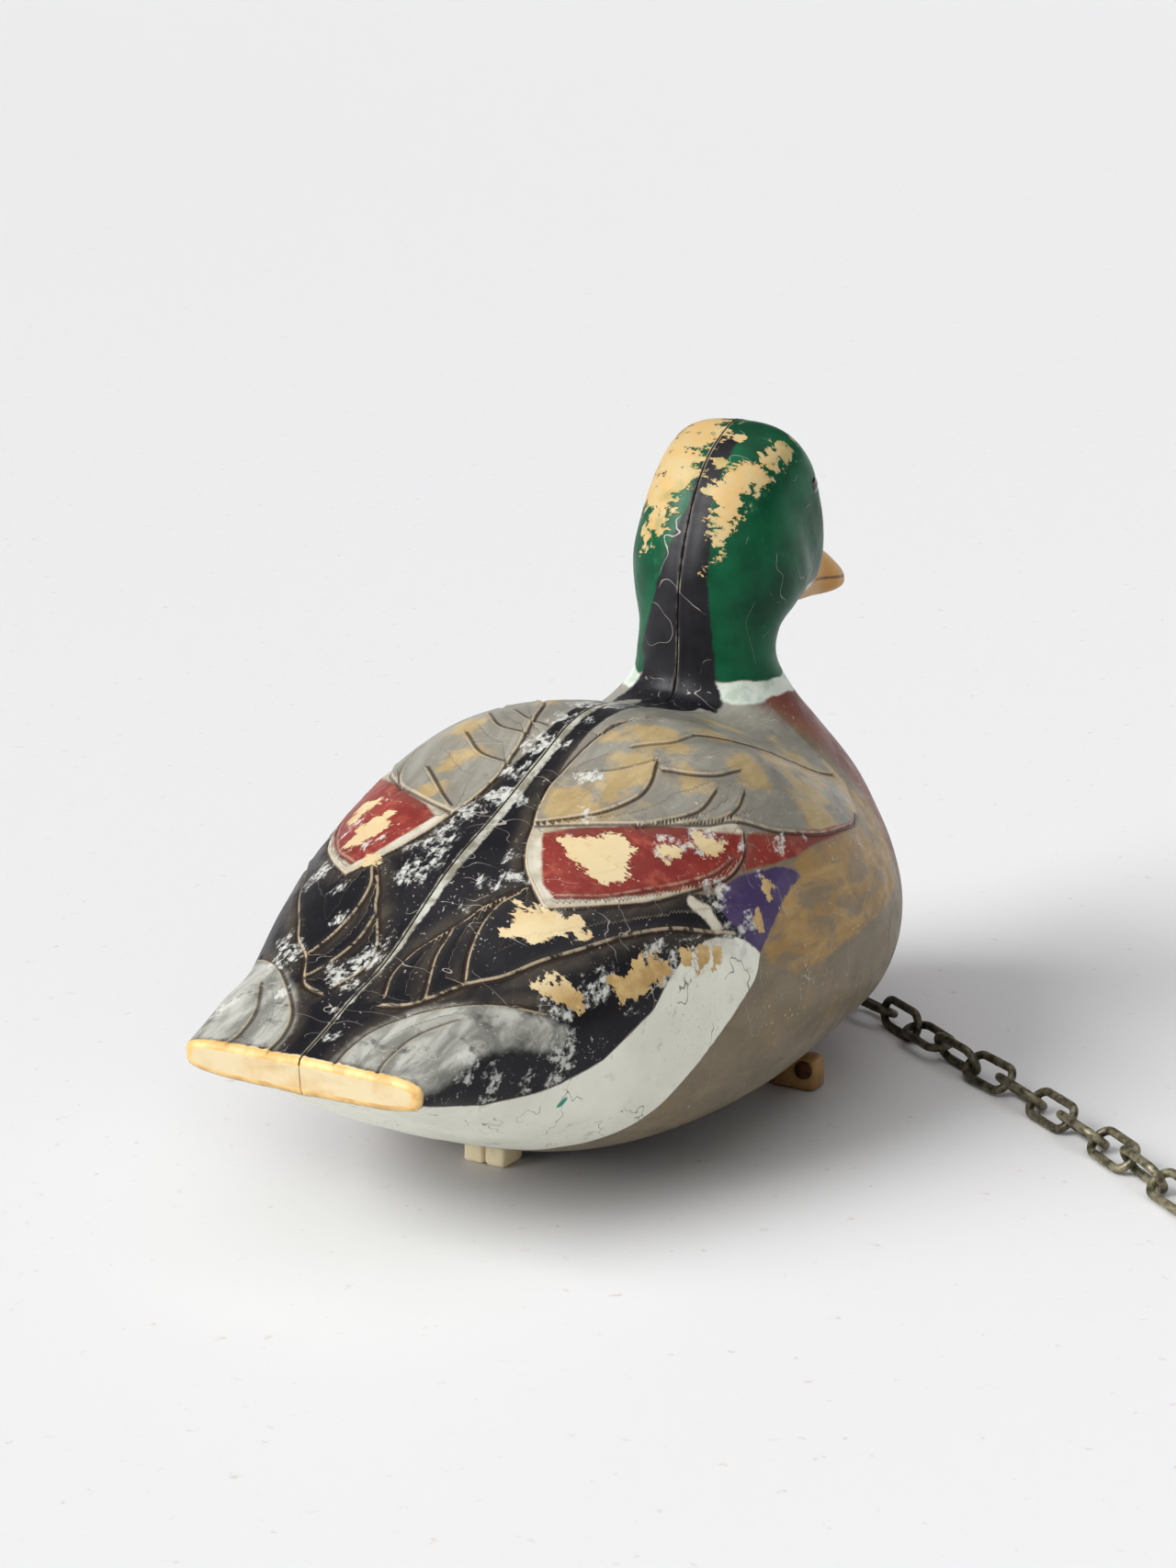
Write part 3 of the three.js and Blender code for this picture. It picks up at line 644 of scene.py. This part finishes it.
def painted_plumage():
    """Bare cream plastic, the paint fields over it, then wear, scratches and grime, with painted shade and
    painted highlights along the moulded lines.
    """
    s = Shader("painted_plumage")
    add, times, both, centred = s.add, s.times, s.both, s.centred

    broad = s.noise(16, 5, 0.6)
    cloudy = s.noise(45, 5, 0.6)
    patchy = s.noise(120, 8, 0.65)
    fine = s.noise(420, 6, 0.65)
    grain = s.noise(1500, 3, 0.6)
    edge = add(centred(s.noise(210, 4, 0.6), 1.6), centred(fine, 0.8))
    streak = s.noise(150, 8, 0.72, s.stretch((0.35, 1.9, 1.2), (0.35, 0.0, 0.5)), 0.4)
    scrape = s.noise(260, 9, 0.75, s.stretch((1.5, 0.5, 1.0), (0.2, 0.3, 0.7)), 0.3)
    brushed = s.noise(60, 6, 0.6, s.stretch((2.6, 0.6, 1.6), (0.0, 0.2, 0.4)), 0.6)

    def inside(name, ragged=0.5, soft=0.35):
        return s.step(add(s.field(name), times(edge, ragged)), -soft, soft)

    plastic = s.tint(broad, 0.35, 0.7, (214, 198, 160), (206, 184, 144))
    plastic = s.tint(cloudy, 0.5, 0.72, plastic, (204, 178, 132))
    plastic = s.tint(patchy, 0.58, 0.75, plastic, (196, 166, 118))

    # Painted fields, the later ones over the earlier.
    belly = s.tint(brushed, 0.3, 0.7, (118, 108, 90), (136, 124, 104))
    belly = s.tint(cloudy, 0.5, 0.8, belly, (146, 122, 86))
    grey = s.tint(brushed, 0.35, 0.7, (132, 129, 120), (152, 149, 139))
    grey = s.tint(patchy, 0.55, 0.75, grey, (118, 112, 104))
    gold = s.tint(brushed, 0.3, 0.65, (174, 148, 98), (192, 168, 120))
    rubbed = add(times(s.field("ochre"), 0.62), centred(s.noise(70, 7, 0.66), 1.9))
    grey = s.mix(times(s.step(rubbed, 0.3, 0.62), 0.75), grey, gold)
    tan = s.tint(brushed, 0.38, 0.66, (152, 122, 72), (172, 142, 92))
    smear = s.noise(60, 7, 0.62, s.stretch((0.6, 1.0, 1.9), (0.5, 0.0, 0.0)), 0.5)
    tan = s.mix(times(s.step(smear, 0.44, 0.62), 0.75), tan, (118, 108, 92))
    brown = s.tint(cloudy, 0.4, 0.7, (112, 60, 50), (134, 80, 66))
    red = s.tint(cloudy, 0.35, 0.7, (122, 46, 42), (142, 60, 52))
    red = s.tint(patchy, 0.5, 0.68, red, (160, 84, 68))
    violet = s.tint(patchy, 0.4, 0.7, (74, 60, 98), (90, 76, 112))
    white = s.tint(broad, 0.4, 0.7, (228, 228, 216), (210, 210, 197))
    white = s.tint(patchy, 0.58, 0.75, white, (182, 176, 160))
    black = s.tint(cloudy, 0.4, 0.7, (26, 25, 30), (40, 38, 42))
    ash = s.tint(brushed, 0.35, 0.65, (126, 126, 120), (182, 182, 174))
    ash = s.tint(patchy, 0.52, 0.7, ash, (90, 88, 84))
    green = s.tint(cloudy, 0.35, 0.7, (0, 64, 40), (6, 92, 60))
    green = s.tint(patchy, 0.6, 0.72, green, (30, 98, 70))
    collar = s.tint(patchy, 0.45, 0.65, (206, 212, 202), (178, 190, 178))
    pale = s.tint(patchy, 0.4, 0.7, (206, 200, 184), (172, 162, 142))
    worn = s.tint(patchy, 0.4, 0.6, (186, 186, 176), (132, 128, 114))
    horn = s.tint(broad, 0.35, 0.7, (186, 138, 66), (204, 158, 86))
    teal = (70, 150, 132)
    dusk = (96, 66, 40)

    colour = belly
    for name, paint, ragged, soft in (
        # field, paint, how ragged its edge is and how soft
        ("coverts", grey, 0.6, 0.5), ("flank", tan, 2.2, 1.0), ("breast", brown, 3.0, 5.0),
        ("white", white, 0.5, 0.3), ("dot", teal, 0.5, 0.3), ("black", black, 0.6, 0.5),
        ("margin", pale, 0.4, 0.8), ("speculum", red, 0.7, 0.7), ("purple", violet, 1.2, 0.5),
        ("bar", pale, 1.4, 0.6), ("tail_patch", ash, 1.4, 1.6), ("green", green, 0.5, 0.3),
        ("ring", collar, 0.6, 0.5), ("stripe", black, 1.0, 0.6), ("chin", pale, 0.6, 1.5),
        ("bill", horn, 0.4, 0.6), ("mouth", dusk, 0.3, 0.5), ("worn_seam", worn, 1.2, 0.5),
    ):
        colour = s.mix(inside(name, ragged, soft), colour, paint)

    # Grime and painted shade in the moulded lines, a soft band of dust and painted shade beside them, and
    # paint worn off their raised edges with a painted highlight on them.
    line, strength = s.field("line"), s.field("line_strength")
    raised = both(s.step(s.math("ABSOLUTE", add(line, 0.5)), 0.62, 0.2), strength)
    sunk = both(s.step(s.math("ABSOLUTE", s.math("SUBTRACT", line, 0.45)), 0.8, 0.15), strength)
    # Soft band to one side of each line: dust and painted shade, greyish brown that lightens the black and
    # darkens the grey.
    shade = both(s.step(s.math("ABSOLUTE", s.math("SUBTRACT", line, 1.8)), 5.4, 0.2), strength)
    dust_and_shade_band = both(shade, s.step(brushed, 0.2, 0.8))
    colour = s.mix(times(dust_and_shade_band, 0.55), colour, (104, 94, 80))
    # Dark brown in the grooves: grime and painted shade.
    colour = s.mix(times(sunk, 0.8), colour, (52, 37, 26))
    # Pale cream on the ridges: worn paint and a painted highlight.
    ridge_wear_and_highlight = both(raised, s.step(streak, 0.38, 0.52))
    colour = s.mix(times(ridge_wear_and_highlight, 0.75), colour, (188, 172, 146))

    # Scuffs: ragged pale marks; specks and hairline scratches all over.
    rough = add(centred(scrape, 2.6), centred(patchy, 1.5))
    lumpy = centred(s.noise(34, 3, 0.5), 1.6)
    scuff = s.step(add(add(times(s.field("scuffed"), 0.8), -0.62), add(times(rough, 0.62), lumpy)), 0.08, 0.3)
    mottle = s.step(add(centred(fine, 1.6), centred(scrape, 1.2)), -0.16, 0.16)
    colour = s.mix(both(times(scuff, 0.92), mottle), colour, (200, 200, 194))
    specks = both(s.step(s.noise(760, 2, 0.5), 0.66, 0.71), s.step(cloudy, 0.42, 0.6))
    specks = both(specks, s.step(s.field("green"), 0.4, -0.4))
    colour = s.mix(times(specks, 0.7), colour, (190, 184, 172))
    hair = s.math("ABSOLUTE", centred(s.noise(34, 2, 0.4, s.stretch((1.0, 2.4, 1.3), (0.6, 0.3, 0.9))), 1.0))
    hairline = both(s.step(hair, 0.0028, 0.0008), s.step(s.noise(55, 3, 0.5), 0.49, 0.56))
    colour = s.mix(times(hairline, 0.65), colour, (196, 188, 176))
    nick = s.math("ABSOLUTE", centred(s.noise(60, 3, 0.5, s.stretch((1.6, 1.0, 0.7), (0.9, 0.1, 0.2))), 1.0))
    nicks = both(both(s.step(nick, 0.006, 0.002), s.step(s.noise(80, 3, 0.5), 0.5, 0.56)), inside("white"))
    colour = s.mix(times(nicks, 0.8), colour, (108, 100, 84))

    # Bare plastic where the paint has flaked off, at the chips, the tail end and along the seam.
    tatters = add(centred(streak, 2.3), add(centred(fine, 1.1), centred(scrape, 0.7)))
    flake = add(s.field("bare"), tatters)
    bare = s.step(flake, 0.62, 0.68)
    end = s.step(add(s.field("tail_end"), times(edge, 1.1)), -0.3, 0.3)
    seam_rub = both(s.step(s.field("seam"), 1.0, 0.4), s.step(s.noise(40, 5, 0.6), 0.46, 0.58))
    colour = s.mix(times(seam_rub, 0.6), colour, (176, 172, 154))
    tanned = s.tint(patchy, 0.4, 0.65, (200, 174, 126), (176, 146, 98))
    plastic = s.tint(s.field("white"), -30, -18, plastic, tanned)
    crown = s.tint(patchy, 0.4, 0.62, (194, 163, 112), (188, 168, 126))
    crown = s.mix(times(s.step(cloudy, 0.5, 0.64), 0.55), crown, (128, 134, 84))
    plastic = s.tint(s.field("green"), -2, 2, plastic, crown)
    bleached = s.tint(cloudy, 0.5, 0.7, (206, 190, 156), (196, 168, 124))
    rim = s.tint(patchy, 0.4, 0.6, (226, 190, 130), (206, 164, 104))
    plastic = s.tint(s.field("tail_end"), 0.2, 0.8, plastic, rim)
    plastic = s.tint(s.field("tail_end"), 2.6, 4.2, plastic, bleached)
    bare = s.math("MAXIMUM", bare, end)
    colour = s.mix(bare, colour, plastic)
    joint = s.step(s.field("seam"), 0.5, 0.15)
    colour = s.mix(times(joint, 0.85), colour, (40, 30, 24))

    height = add(times(bare, -0.6), add(times(patchy, 0.25), times(grain, 0.12)))
    height = add(height, s.math("SUBTRACT", times(raised, 0.9), times(sunk, 1.4)))
    s.set(Base_Color=colour, Normal=s.bump(height, 0.55, 0.0004))
    gloss = add(0.34, add(times(scuff, 0.22), times(s.step(patchy, 0.4, 0.7), 0.14)))
    s.set(Roughness=gloss, Specular_IOR_Level=0.3)
    return s.material


def bare_plastic(name, dirt_and_shade):
    """Cream moulded plastic stained in spots with grime; the higher the second argument, the more of it is
    stained, and on the front feet that dark stain also stands for painted shade.
    """
    s = Shader(name)
    cloudy = s.noise(60, 5, 0.6)
    spots = s.noise(220, 6, 0.65)
    clean = s.tint(cloudy, 0.4, 0.7, (240, 228, 196), (226, 202, 152))
    stain_and_shade = s.tint(cloudy, 0.35, 0.65, (176, 140, 92), (124, 90, 56))
    colour = s.mix(s.step(s.math("MULTIPLY_ADD", spots, 1.4, dirt_and_shade), 1.1, 1.5), clean, stain_and_shade)
    s.set(Base_Color=colour, Roughness=s.step(spots, -0.6, 1.6), Specular_IOR_Level=0.45)
    s.set(Normal=s.bump(s.noise(500, 5, 0.6), 0.25, 0.0003))
    return s.material


def rusty_iron():
    s = Shader("rusty_iron")
    scale = s.noise(320, 8, 0.7)
    colour = s.tint(scale, 0.35, 0.6, (48, 36, 30), (104, 62, 38))
    colour = s.tint(s.noise(900, 4, 0.6), 0.6, 0.75, colour, (140, 92, 56))
    s.set(Base_Color=colour, Metallic=0.35, Roughness=s.math("MULTIPLY_ADD", scale, 0.4, 0.55))
    s.set(Normal=s.bump(scale, 0.7, 0.0004))
    return s.material


def dull_lead():
    s = Shader("dull_lead")
    cast = s.noise(90, 6, 0.6)
    colour = s.tint(cast, 0.35, 0.7, (150, 158, 164), (112, 118, 124))
    s.set(Base_Color=colour, Metallic=0.8, Roughness=s.math("MULTIPLY_ADD", cast, 0.3, 0.35))
    s.set(Normal=s.bump(s.noise(260, 6, 0.6), 0.4, 0.0004))
    return s.material


def chain_metal(name, tone):
    """Weathered chain: dark at tone 0, dull zinc with an olive tinge at tone 1."""
    s = Shader(name)
    spots = s.noise(260, 7, 0.65)
    dark = (30 + 58 * tone, 28 + 56 * tone, 25 + 44 * tone)
    light = (70 + 92 * tone, 66 + 90 * tone, 56 + 76 * tone)
    colour = s.tint(spots, 0.35, 0.62, dark, light)
    rust = s.step(s.noise(420, 5, 0.6), 0.6, 0.7)
    colour = s.mix(s.math("MULTIPLY", rust, 0.6), colour, (112, 78, 50))
    s.set(Base_Color=colour, Metallic=0.75, Roughness=s.math("MULTIPLY_ADD", spots, 0.35, 0.32))
    s.set(Normal=s.bump(s.noise(900, 4, 0.6), 0.35, 0.0002))
    return s.material


def eye_glass():
    s = Shader("eye_glass")
    depth = s.noise(140, 3, 0.5)
    s.set(Base_Color=s.mix(depth, (10, 8, 8), (34, 22, 16)), Roughness=0.12,
          Coat_Weight=0.6, Coat_Roughness=0.05, IOR=1.5)
    return s.material


# ---------------------------------------------------------------- other pieces


def add_object(name, data):
    made = bpy.data.objects.new(name, data)
    bpy.context.scene.collection.objects.link(made)
    return made


def mesh_object(name, vertices, faces, material, sharp=180):
    """Smooth shaded piece, but for the edges that turn by more than "sharp" degrees."""
    mesh = bpy.data.meshes.new(name)
    mesh.from_pydata([tuple(map(float, v)) for v in vertices], [], faces)
    mesh.validate()
    bm = bmesh.new()
    bm.from_mesh(mesh)
    bmesh.ops.recalc_face_normals(bm, faces=bm.faces)
    for edge in bm.edges:
        edge.smooth = len(edge.link_faces) != 2 or edge.calc_face_angle() <= math.radians(sharp)
    bm.to_mesh(mesh)
    bm.free()
    for face in mesh.polygons:
        face.use_smooth = True
    mesh.materials.append(material)
    return add_object(name, mesh)


def ring_skin(rings, loop=False):
    """Vertices and faces of a skin over equal rings, its ends closed unless it is a loop."""
    n = len(rings[0])
    vertices = np.vstack(rings)
    faces = []
    for i in range(len(rings) if loop else len(rings) - 1):
        j = (i + 1) % len(rings)
        faces += [(i * n + k, i * n + (k + 1) % n, j * n + (k + 1) % n, j * n + k) for k in range(n)]
    if not loop:
        faces += [tuple(range(n))[::-1], tuple(range(len(vertices) - n, len(vertices)))]
    return vertices, faces


def foot_block(name, foot, out, wide, bottom, material, seed):
    """Moulded block with rounded edges and slightly uneven sides, sizes in millimetres."""
    size = (wide, foot["long"], foot["top"] - bottom)
    middle = place(foot["along"] + foot["long"] / 2, out, (foot["top"] + bottom) / 2) / MM
    steps, corners, squareness = 14, 48, 6.5
    turn = np.linspace(0, 2 * np.pi, corners, endpoint=False)
    x = np.sign(np.cos(turn)) * np.abs(np.cos(turn)) ** (2 / squareness)
    y = np.sign(np.sin(turn)) * np.abs(np.sin(turn)) ** (2 / squareness)
    rings = []
    for i in range(steps + 1):
        up = math.sin(math.pi * (i / steps - 0.5))
        # Only the top and the bottom are drawn in, to a little over half the width.
        shrink = max((1 - min(abs(up), 1) ** 7) ** (1 / 7), 0.55) if abs(up) > 0.8 else 1.0
        rings.append(np.stack([x * size[0] / 2 * shrink, y * size[1] / 2 * shrink,
                               np.full_like(x, up * size[2] / 2)], -1))
    points, faces = ring_skin(rings)
    lump = np.array([noise.noise(Vector(p) * 0.16 + Vector((seed * 9.7, 0, 0))) for p in points])
    points = points * (1 + 0.05 * lump[:, None]) + middle
    points[:, 2] = np.maximum(points[:, 2], 0)
    return mesh_object(name, points * MM, faces, material)


def node_box(node):
    """Low corner, high corner and middle of a CAD node, in millimetres of the frame."""
    low, high = (np.array(corner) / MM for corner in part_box(node))
    return low, high, (low + high) / 2


def node_axes(node):
    """Middle and the axes of a CAD node, longest first, from its own vertices."""
    co = np.array([v.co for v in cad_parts[node].data.vertices], float)
    middle = co.mean(0)
    _, _, axes = np.linalg.svd(co - middle, full_matrices=False)
    if np.linalg.det(axes) < 0:
        axes[2] = -axes[2]
    return middle, axes


def chain_link(node, material):
    """Welded link of round wire in the place of its CAD node."""
    middle, axes = node_axes(node)
    bend = (LINK["wide"] - LINK["wire"]) / 2
    straight = (LINK["pitch"] + LINK["wire"] + LINK["play"]) / 2 - bend
    rings = []
    for end in (1, -1):
        for i in range(17):
            a = -math.pi / 2 + math.pi * i / 16 + (0 if end > 0 else math.pi)
            outward = np.array([math.cos(a), math.sin(a), 0])
            centre = outward * bend
            centre[0] += end * straight
            rings.append((centre, outward))
        start = np.array([end * straight, bend * end, 0])
        outward = np.array([0, float(end), 0])
        for share in (0.2, 0.4, 0.46, 0.5, 0.54, 0.6, 0.8):
            centre = start.copy()
            centre[0] = end * straight * (1 - 2 * share)
            rings.append((centre, outward))
    made = []
    for centre, outward in rings:
        weld = math.exp(-((centre[0] / 0.9) ** 2)) if centre[1] > 0 and abs(centre[1]) > bend * 0.9 else 0
        radius = LINK["wire"] / 2 * (0.98 + 0.07 * weld)
        turn = np.linspace(0, 2 * np.pi, 20, endpoint=False)
        made.append(centre + radius * (np.cos(turn)[:, None] * outward
                                       + np.sin(turn)[:, None] * np.array([0, 0, 1])))
    points, faces = ring_skin(made, loop=True)
    return mesh_object(node + "_wire", points * MM @ axes + middle, faces, material)


def lathe(name, profile, at, axis, material, slot=None):
    """Turned piece: profile of (radius, height) along the axis; a slot may be cut across its top."""
    turn = Vector((0, 0, 1)).rotation_difference(Vector(axis))
    n = 40
    rings = [[Vector((r * math.cos(2 * math.pi * k / n), r * math.sin(2 * math.pi * k / n), h))
              for k in range(n)] for r, h in profile]
    if slot:
        floor_of_slot = profile[-1][1] - slot["below_top"]
        for point in (p for ring in rings for p in ring):
            if abs(point.x) < slot["half"] and point.z > floor_of_slot:
                point.z -= slot["deep"]
    points = [np.array([tuple(turn @ p) for p in ring]) for ring in rings]
    vertices, faces = ring_skin(points)
    return mesh_object(name, (vertices + np.asarray(at)) * MM, faces, material)


def tube(name, path, radius, material):
    """Round bar along a path of points in millimetres."""
    line = catmull(path, 6)
    rings = []
    for i, p in enumerate(line):
        ahead = line[min(i + 1, len(line) - 1)] - line[max(i - 1, 0)]
        ahead /= np.linalg.norm(ahead)
        across = np.cross(ahead, (0, 1, 0))
        across /= np.linalg.norm(across)
        other = np.cross(ahead, across)
        turn = np.linspace(0, 2 * np.pi, 20, endpoint=False)[:, None]
        rings.append(p + radius * (np.cos(turn) * across + np.sin(turn) * other))
    vertices, faces = ring_skin(rings)
    return mesh_object(name, vertices * MM, faces, material)


def sphere(name, middle, radius, material):
    """Fine ball of rings round its upright axis."""
    turn = np.linspace(0, 2 * np.pi, 40, endpoint=False)
    rings = []
    for a in np.linspace(0, math.pi, 25)[1:-1]:
        rings.append(radius * np.stack([math.sin(a) * np.cos(turn), math.sin(a) * np.sin(turn),
                                        np.full(40, -math.cos(a))], -1) + middle)
    vertices, faces = ring_skin(rings)
    return mesh_object(name, vertices * MM, faces, material)


def keep(obj, body="decoy", replaces=()):
    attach(obj, body)
    if replaces:
        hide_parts(*replaces)
    return obj


# ---------------------------------------------------------------- build

plumage = painted_plumage()
cream = bare_plastic("bare_plastic", 0.3)
# Darker copy of the plastic: grime with painted shade, for the front feet.
grime_and_shade = bare_plastic("grime_and_shade_plastic", 1.0)
iron = rusty_iron()
lead = dull_lead()
glass = eye_glass()

grid, girth, rows, number = skin_grid()
for word, side in SIDE_SIGN.items():
    shell = half_skin(word, grid, girth, rows, number)
    keep(shell, replaces=[word + "_shell"])

    rear_wide = REAR_FOOT["half"] - HALF_GAP
    blocks = [
        # name, foot, middle out, wide, bottom, material, seed
        # The front feet and their necks take the darker plastic: grime and painted shade under the belly.
        ("front_foot", FRONT_FOOT, FRONT_FOOT["out"], FRONT_FOOT["wide"], 0, grime_and_shade, 3),
        ("front_foot_neck", FOOT_NECK, FOOT_NECK["out"], FOOT_NECK["wide"], FRONT_FOOT["top"] / 2, grime_and_shade, 11),
        ("rear_foot", REAR_FOOT, HALF_GAP + rear_wide / 2, rear_wide, 0, cream, 7),
    ]
    for name, foot, out, wide, bottom, plastic, seed in blocks:
        block = foot_block(word + "_" + name, foot, side * out, wide, bottom, plastic, seed + side)
        keep(block)

    low, high, middle = node_box(word + "_eye")
    eye = sphere(word + "_eye_glass", middle, (high[2] - low[2]) / 2, glass)
    keep(eye, replaces=[word + "_eye"])

    low, high, middle = node_box(word + "_foot_rivet")
    rear_face = LENGTH / 2 - FRONT_FOOT["along"] + 0.3
    rivet = lathe(word + "_foot_rivet_head", RIVET, (middle[0], rear_face, middle[2]), (0, 1, 0), iron)
    keep(rivet, replaces=[word + "_foot_rivet"])

for node in ("left_rear_plate_screw", "left_front_plate_screw", "right_rear_plate_screw",
             "right_front_plate_screw"):
    low, high, middle = node_box(node)
    crown = (middle[0], middle[1], low[2] + SCREW[-1][1])
    screw = lathe(node + "_turned", SCREW, crown, (0, 0, -1), iron, SCREW_SLOT)
    keep(screw, replaces=[node])

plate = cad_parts["ballast_plate"]
plate.data.materials.clear()
plate.data.materials.append(lead)
bevel = plate.modifiers.new("worn_edges", "BEVEL")
bevel.width, bevel.segments, bevel.limit_method = 0.5 * MM, 3, "ANGLE"

# The staple's path from the keel down, across and up again: (in from the leg, up from the crown).
low, high, middle = node_box("mooring_staple")
leg = [(0, high[2] - low[2] - BAR), (0, 8), (0, 2.5), (0.75, 0.75), (2.5, 0)]
path = [(low[0] + BAR + x, middle[1], low[2] + BAR + z) for x, z in leg]
path += [(high[0] - BAR - x, middle[1], low[2] + BAR + z) for x, z in leg[::-1]]
staple = tube("mooring_staple_wire", path, BAR, iron)
keep(staple, replaces=["mooring_staple"])

links = sorted(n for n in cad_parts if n.startswith("chain_link_"))
for i, node in enumerate(links):
    # The links run from dark by the duck to paler ones further along.
    tone = min(1.0, 0.08 + 0.085 * i)
    piece = chain_link(node, chain_metal("chain_metal_%02d" % (i + 1), tone))
    keep(piece, body="link_" + node[-2:], replaces=[node])

# ---------------------------------------------------------------- stage, light and camera

ELEVATION, TURN = math.radians(15.5), math.radians(60.3)
DISTANCE = 1262  # millimetres from the camera to the duck's middle
MIDDLE = (185, 0, 90)  # along, out, up
OFF_CENTRE = (5.573, 19.042)  # how far right and low of the picture's centre the middle is seen
FILM, LENS = 36, 85.961  # millimetres: the film's height and the focal length
level = np.array([math.cos(TURN), -math.sin(TURN), 0])
right = np.array([-math.sin(TURN), -math.cos(TURN), 0])
ahead = level * math.cos(ELEVATION) - np.array([0, 0, math.sin(ELEVATION)])
down = -level * math.sin(ELEVATION) - np.array([0, 0, math.cos(ELEVATION)])
eye_point = place(*MIDDLE) / MM - DISTANCE * ahead - OFF_CENTRE[0] * right - OFF_CENTRE[1] * down

camera = add_object("camera", bpy.data.cameras.new("camera"))
camera.location = eye_point * MM
camera.rotation_euler = Vector(ahead).to_track_quat("-Z", "Y").to_euler()
camera.data.sensor_width = FILM
camera.data.lens = LENS
camera.data.clip_start, camera.data.clip_end = 0.05, 30
bpy.context.scene.camera = camera


def pale_floor():
    """Pale painted ground with faint spots."""
    s = Shader("pale_floor")
    dots = s.step(s.noise(140, 4, 0.6), 0.64, 0.74)
    spotted = s.mix(s.times(dots, 0.5), (222, 222, 223), (196, 180, 162))
    s.set(Base_Color=spotted, Roughness=0.6, Specular_IOR_Level=0.3)
    return s.material


# Floor that turns up into a low backdrop far away all round: radius and height in metres.
GROUND = [(0.6, 0), (14, 0), (14.8, 0.12), (15.4, 0.5), (15.8, 1.2), (16, 3.2)]
SIDES = 72
turns = [2 * math.pi * k / SIDES for k in range(SIDES)]
ground_rings = [[(r * math.cos(t), r * math.sin(t), z) for t in turns] for r, z in GROUND]
ground_faces = [tuple(range(SIDES))]
for i in range(len(GROUND) - 1):
    for k in range(SIDES):
        j = (k + 1) % SIDES
        ground_faces.append((i * SIDES + k, i * SIDES + j, (i + 1) * SIDES + j, (i + 1) * SIDES + k))
ground_mesh = bpy.data.meshes.new("floor")
ground_mesh.from_pydata([p for ring in ground_rings for p in ring], [], ground_faces)
ground_mesh.materials.append(pale_floor())
ground = add_object("floor", ground_mesh)


def lamp(name, kind, towards, strength):
    """Light that shines in a direction: its object and its data."""
    data = bpy.data.lights.new(name, kind)
    data.energy = strength
    made = add_object(name, data)
    made.rotation_euler = Vector(towards).to_track_quat("-Z", "Y").to_euler()
    return made, data


# The lights are placed by the camera: right of the picture, level into it, and upwards.
UP = np.array([0, 0, 1])
window = lamp("window", "SUN", 1.25 * right + 0.6 * level - 0.85 * UP, 3.2)[1]
window.angle = math.radians(42)
overhead = lamp("overhead", "SUN", 0.3 * level - 1.9 * UP, 0.8)[1]
overhead.angle = math.radians(70)
from_duck = 0.4 * right - 2.2 * level + 1.1 * UP
front_fill, panel = lamp("front_fill", "AREA", -from_duck, 4)
front_fill.location = place(185, 0, 80) + from_duck
panel.shape, panel.size, panel.size_y = "RECTANGLE", 1.8, 1.4

world = bpy.data.worlds.new("studio")
world.use_nodes = True
world.node_tree.nodes["Background"].inputs["Color"].default_value = (1, 1, 1, 1)
world.node_tree.nodes["Background"].inputs["Strength"].default_value = 0.22
bpy.context.scene.world = world
bpy.context.scene.view_settings.view_transform = "Standard"
bpy.context.scene.view_settings.look = "Medium High Contrast"
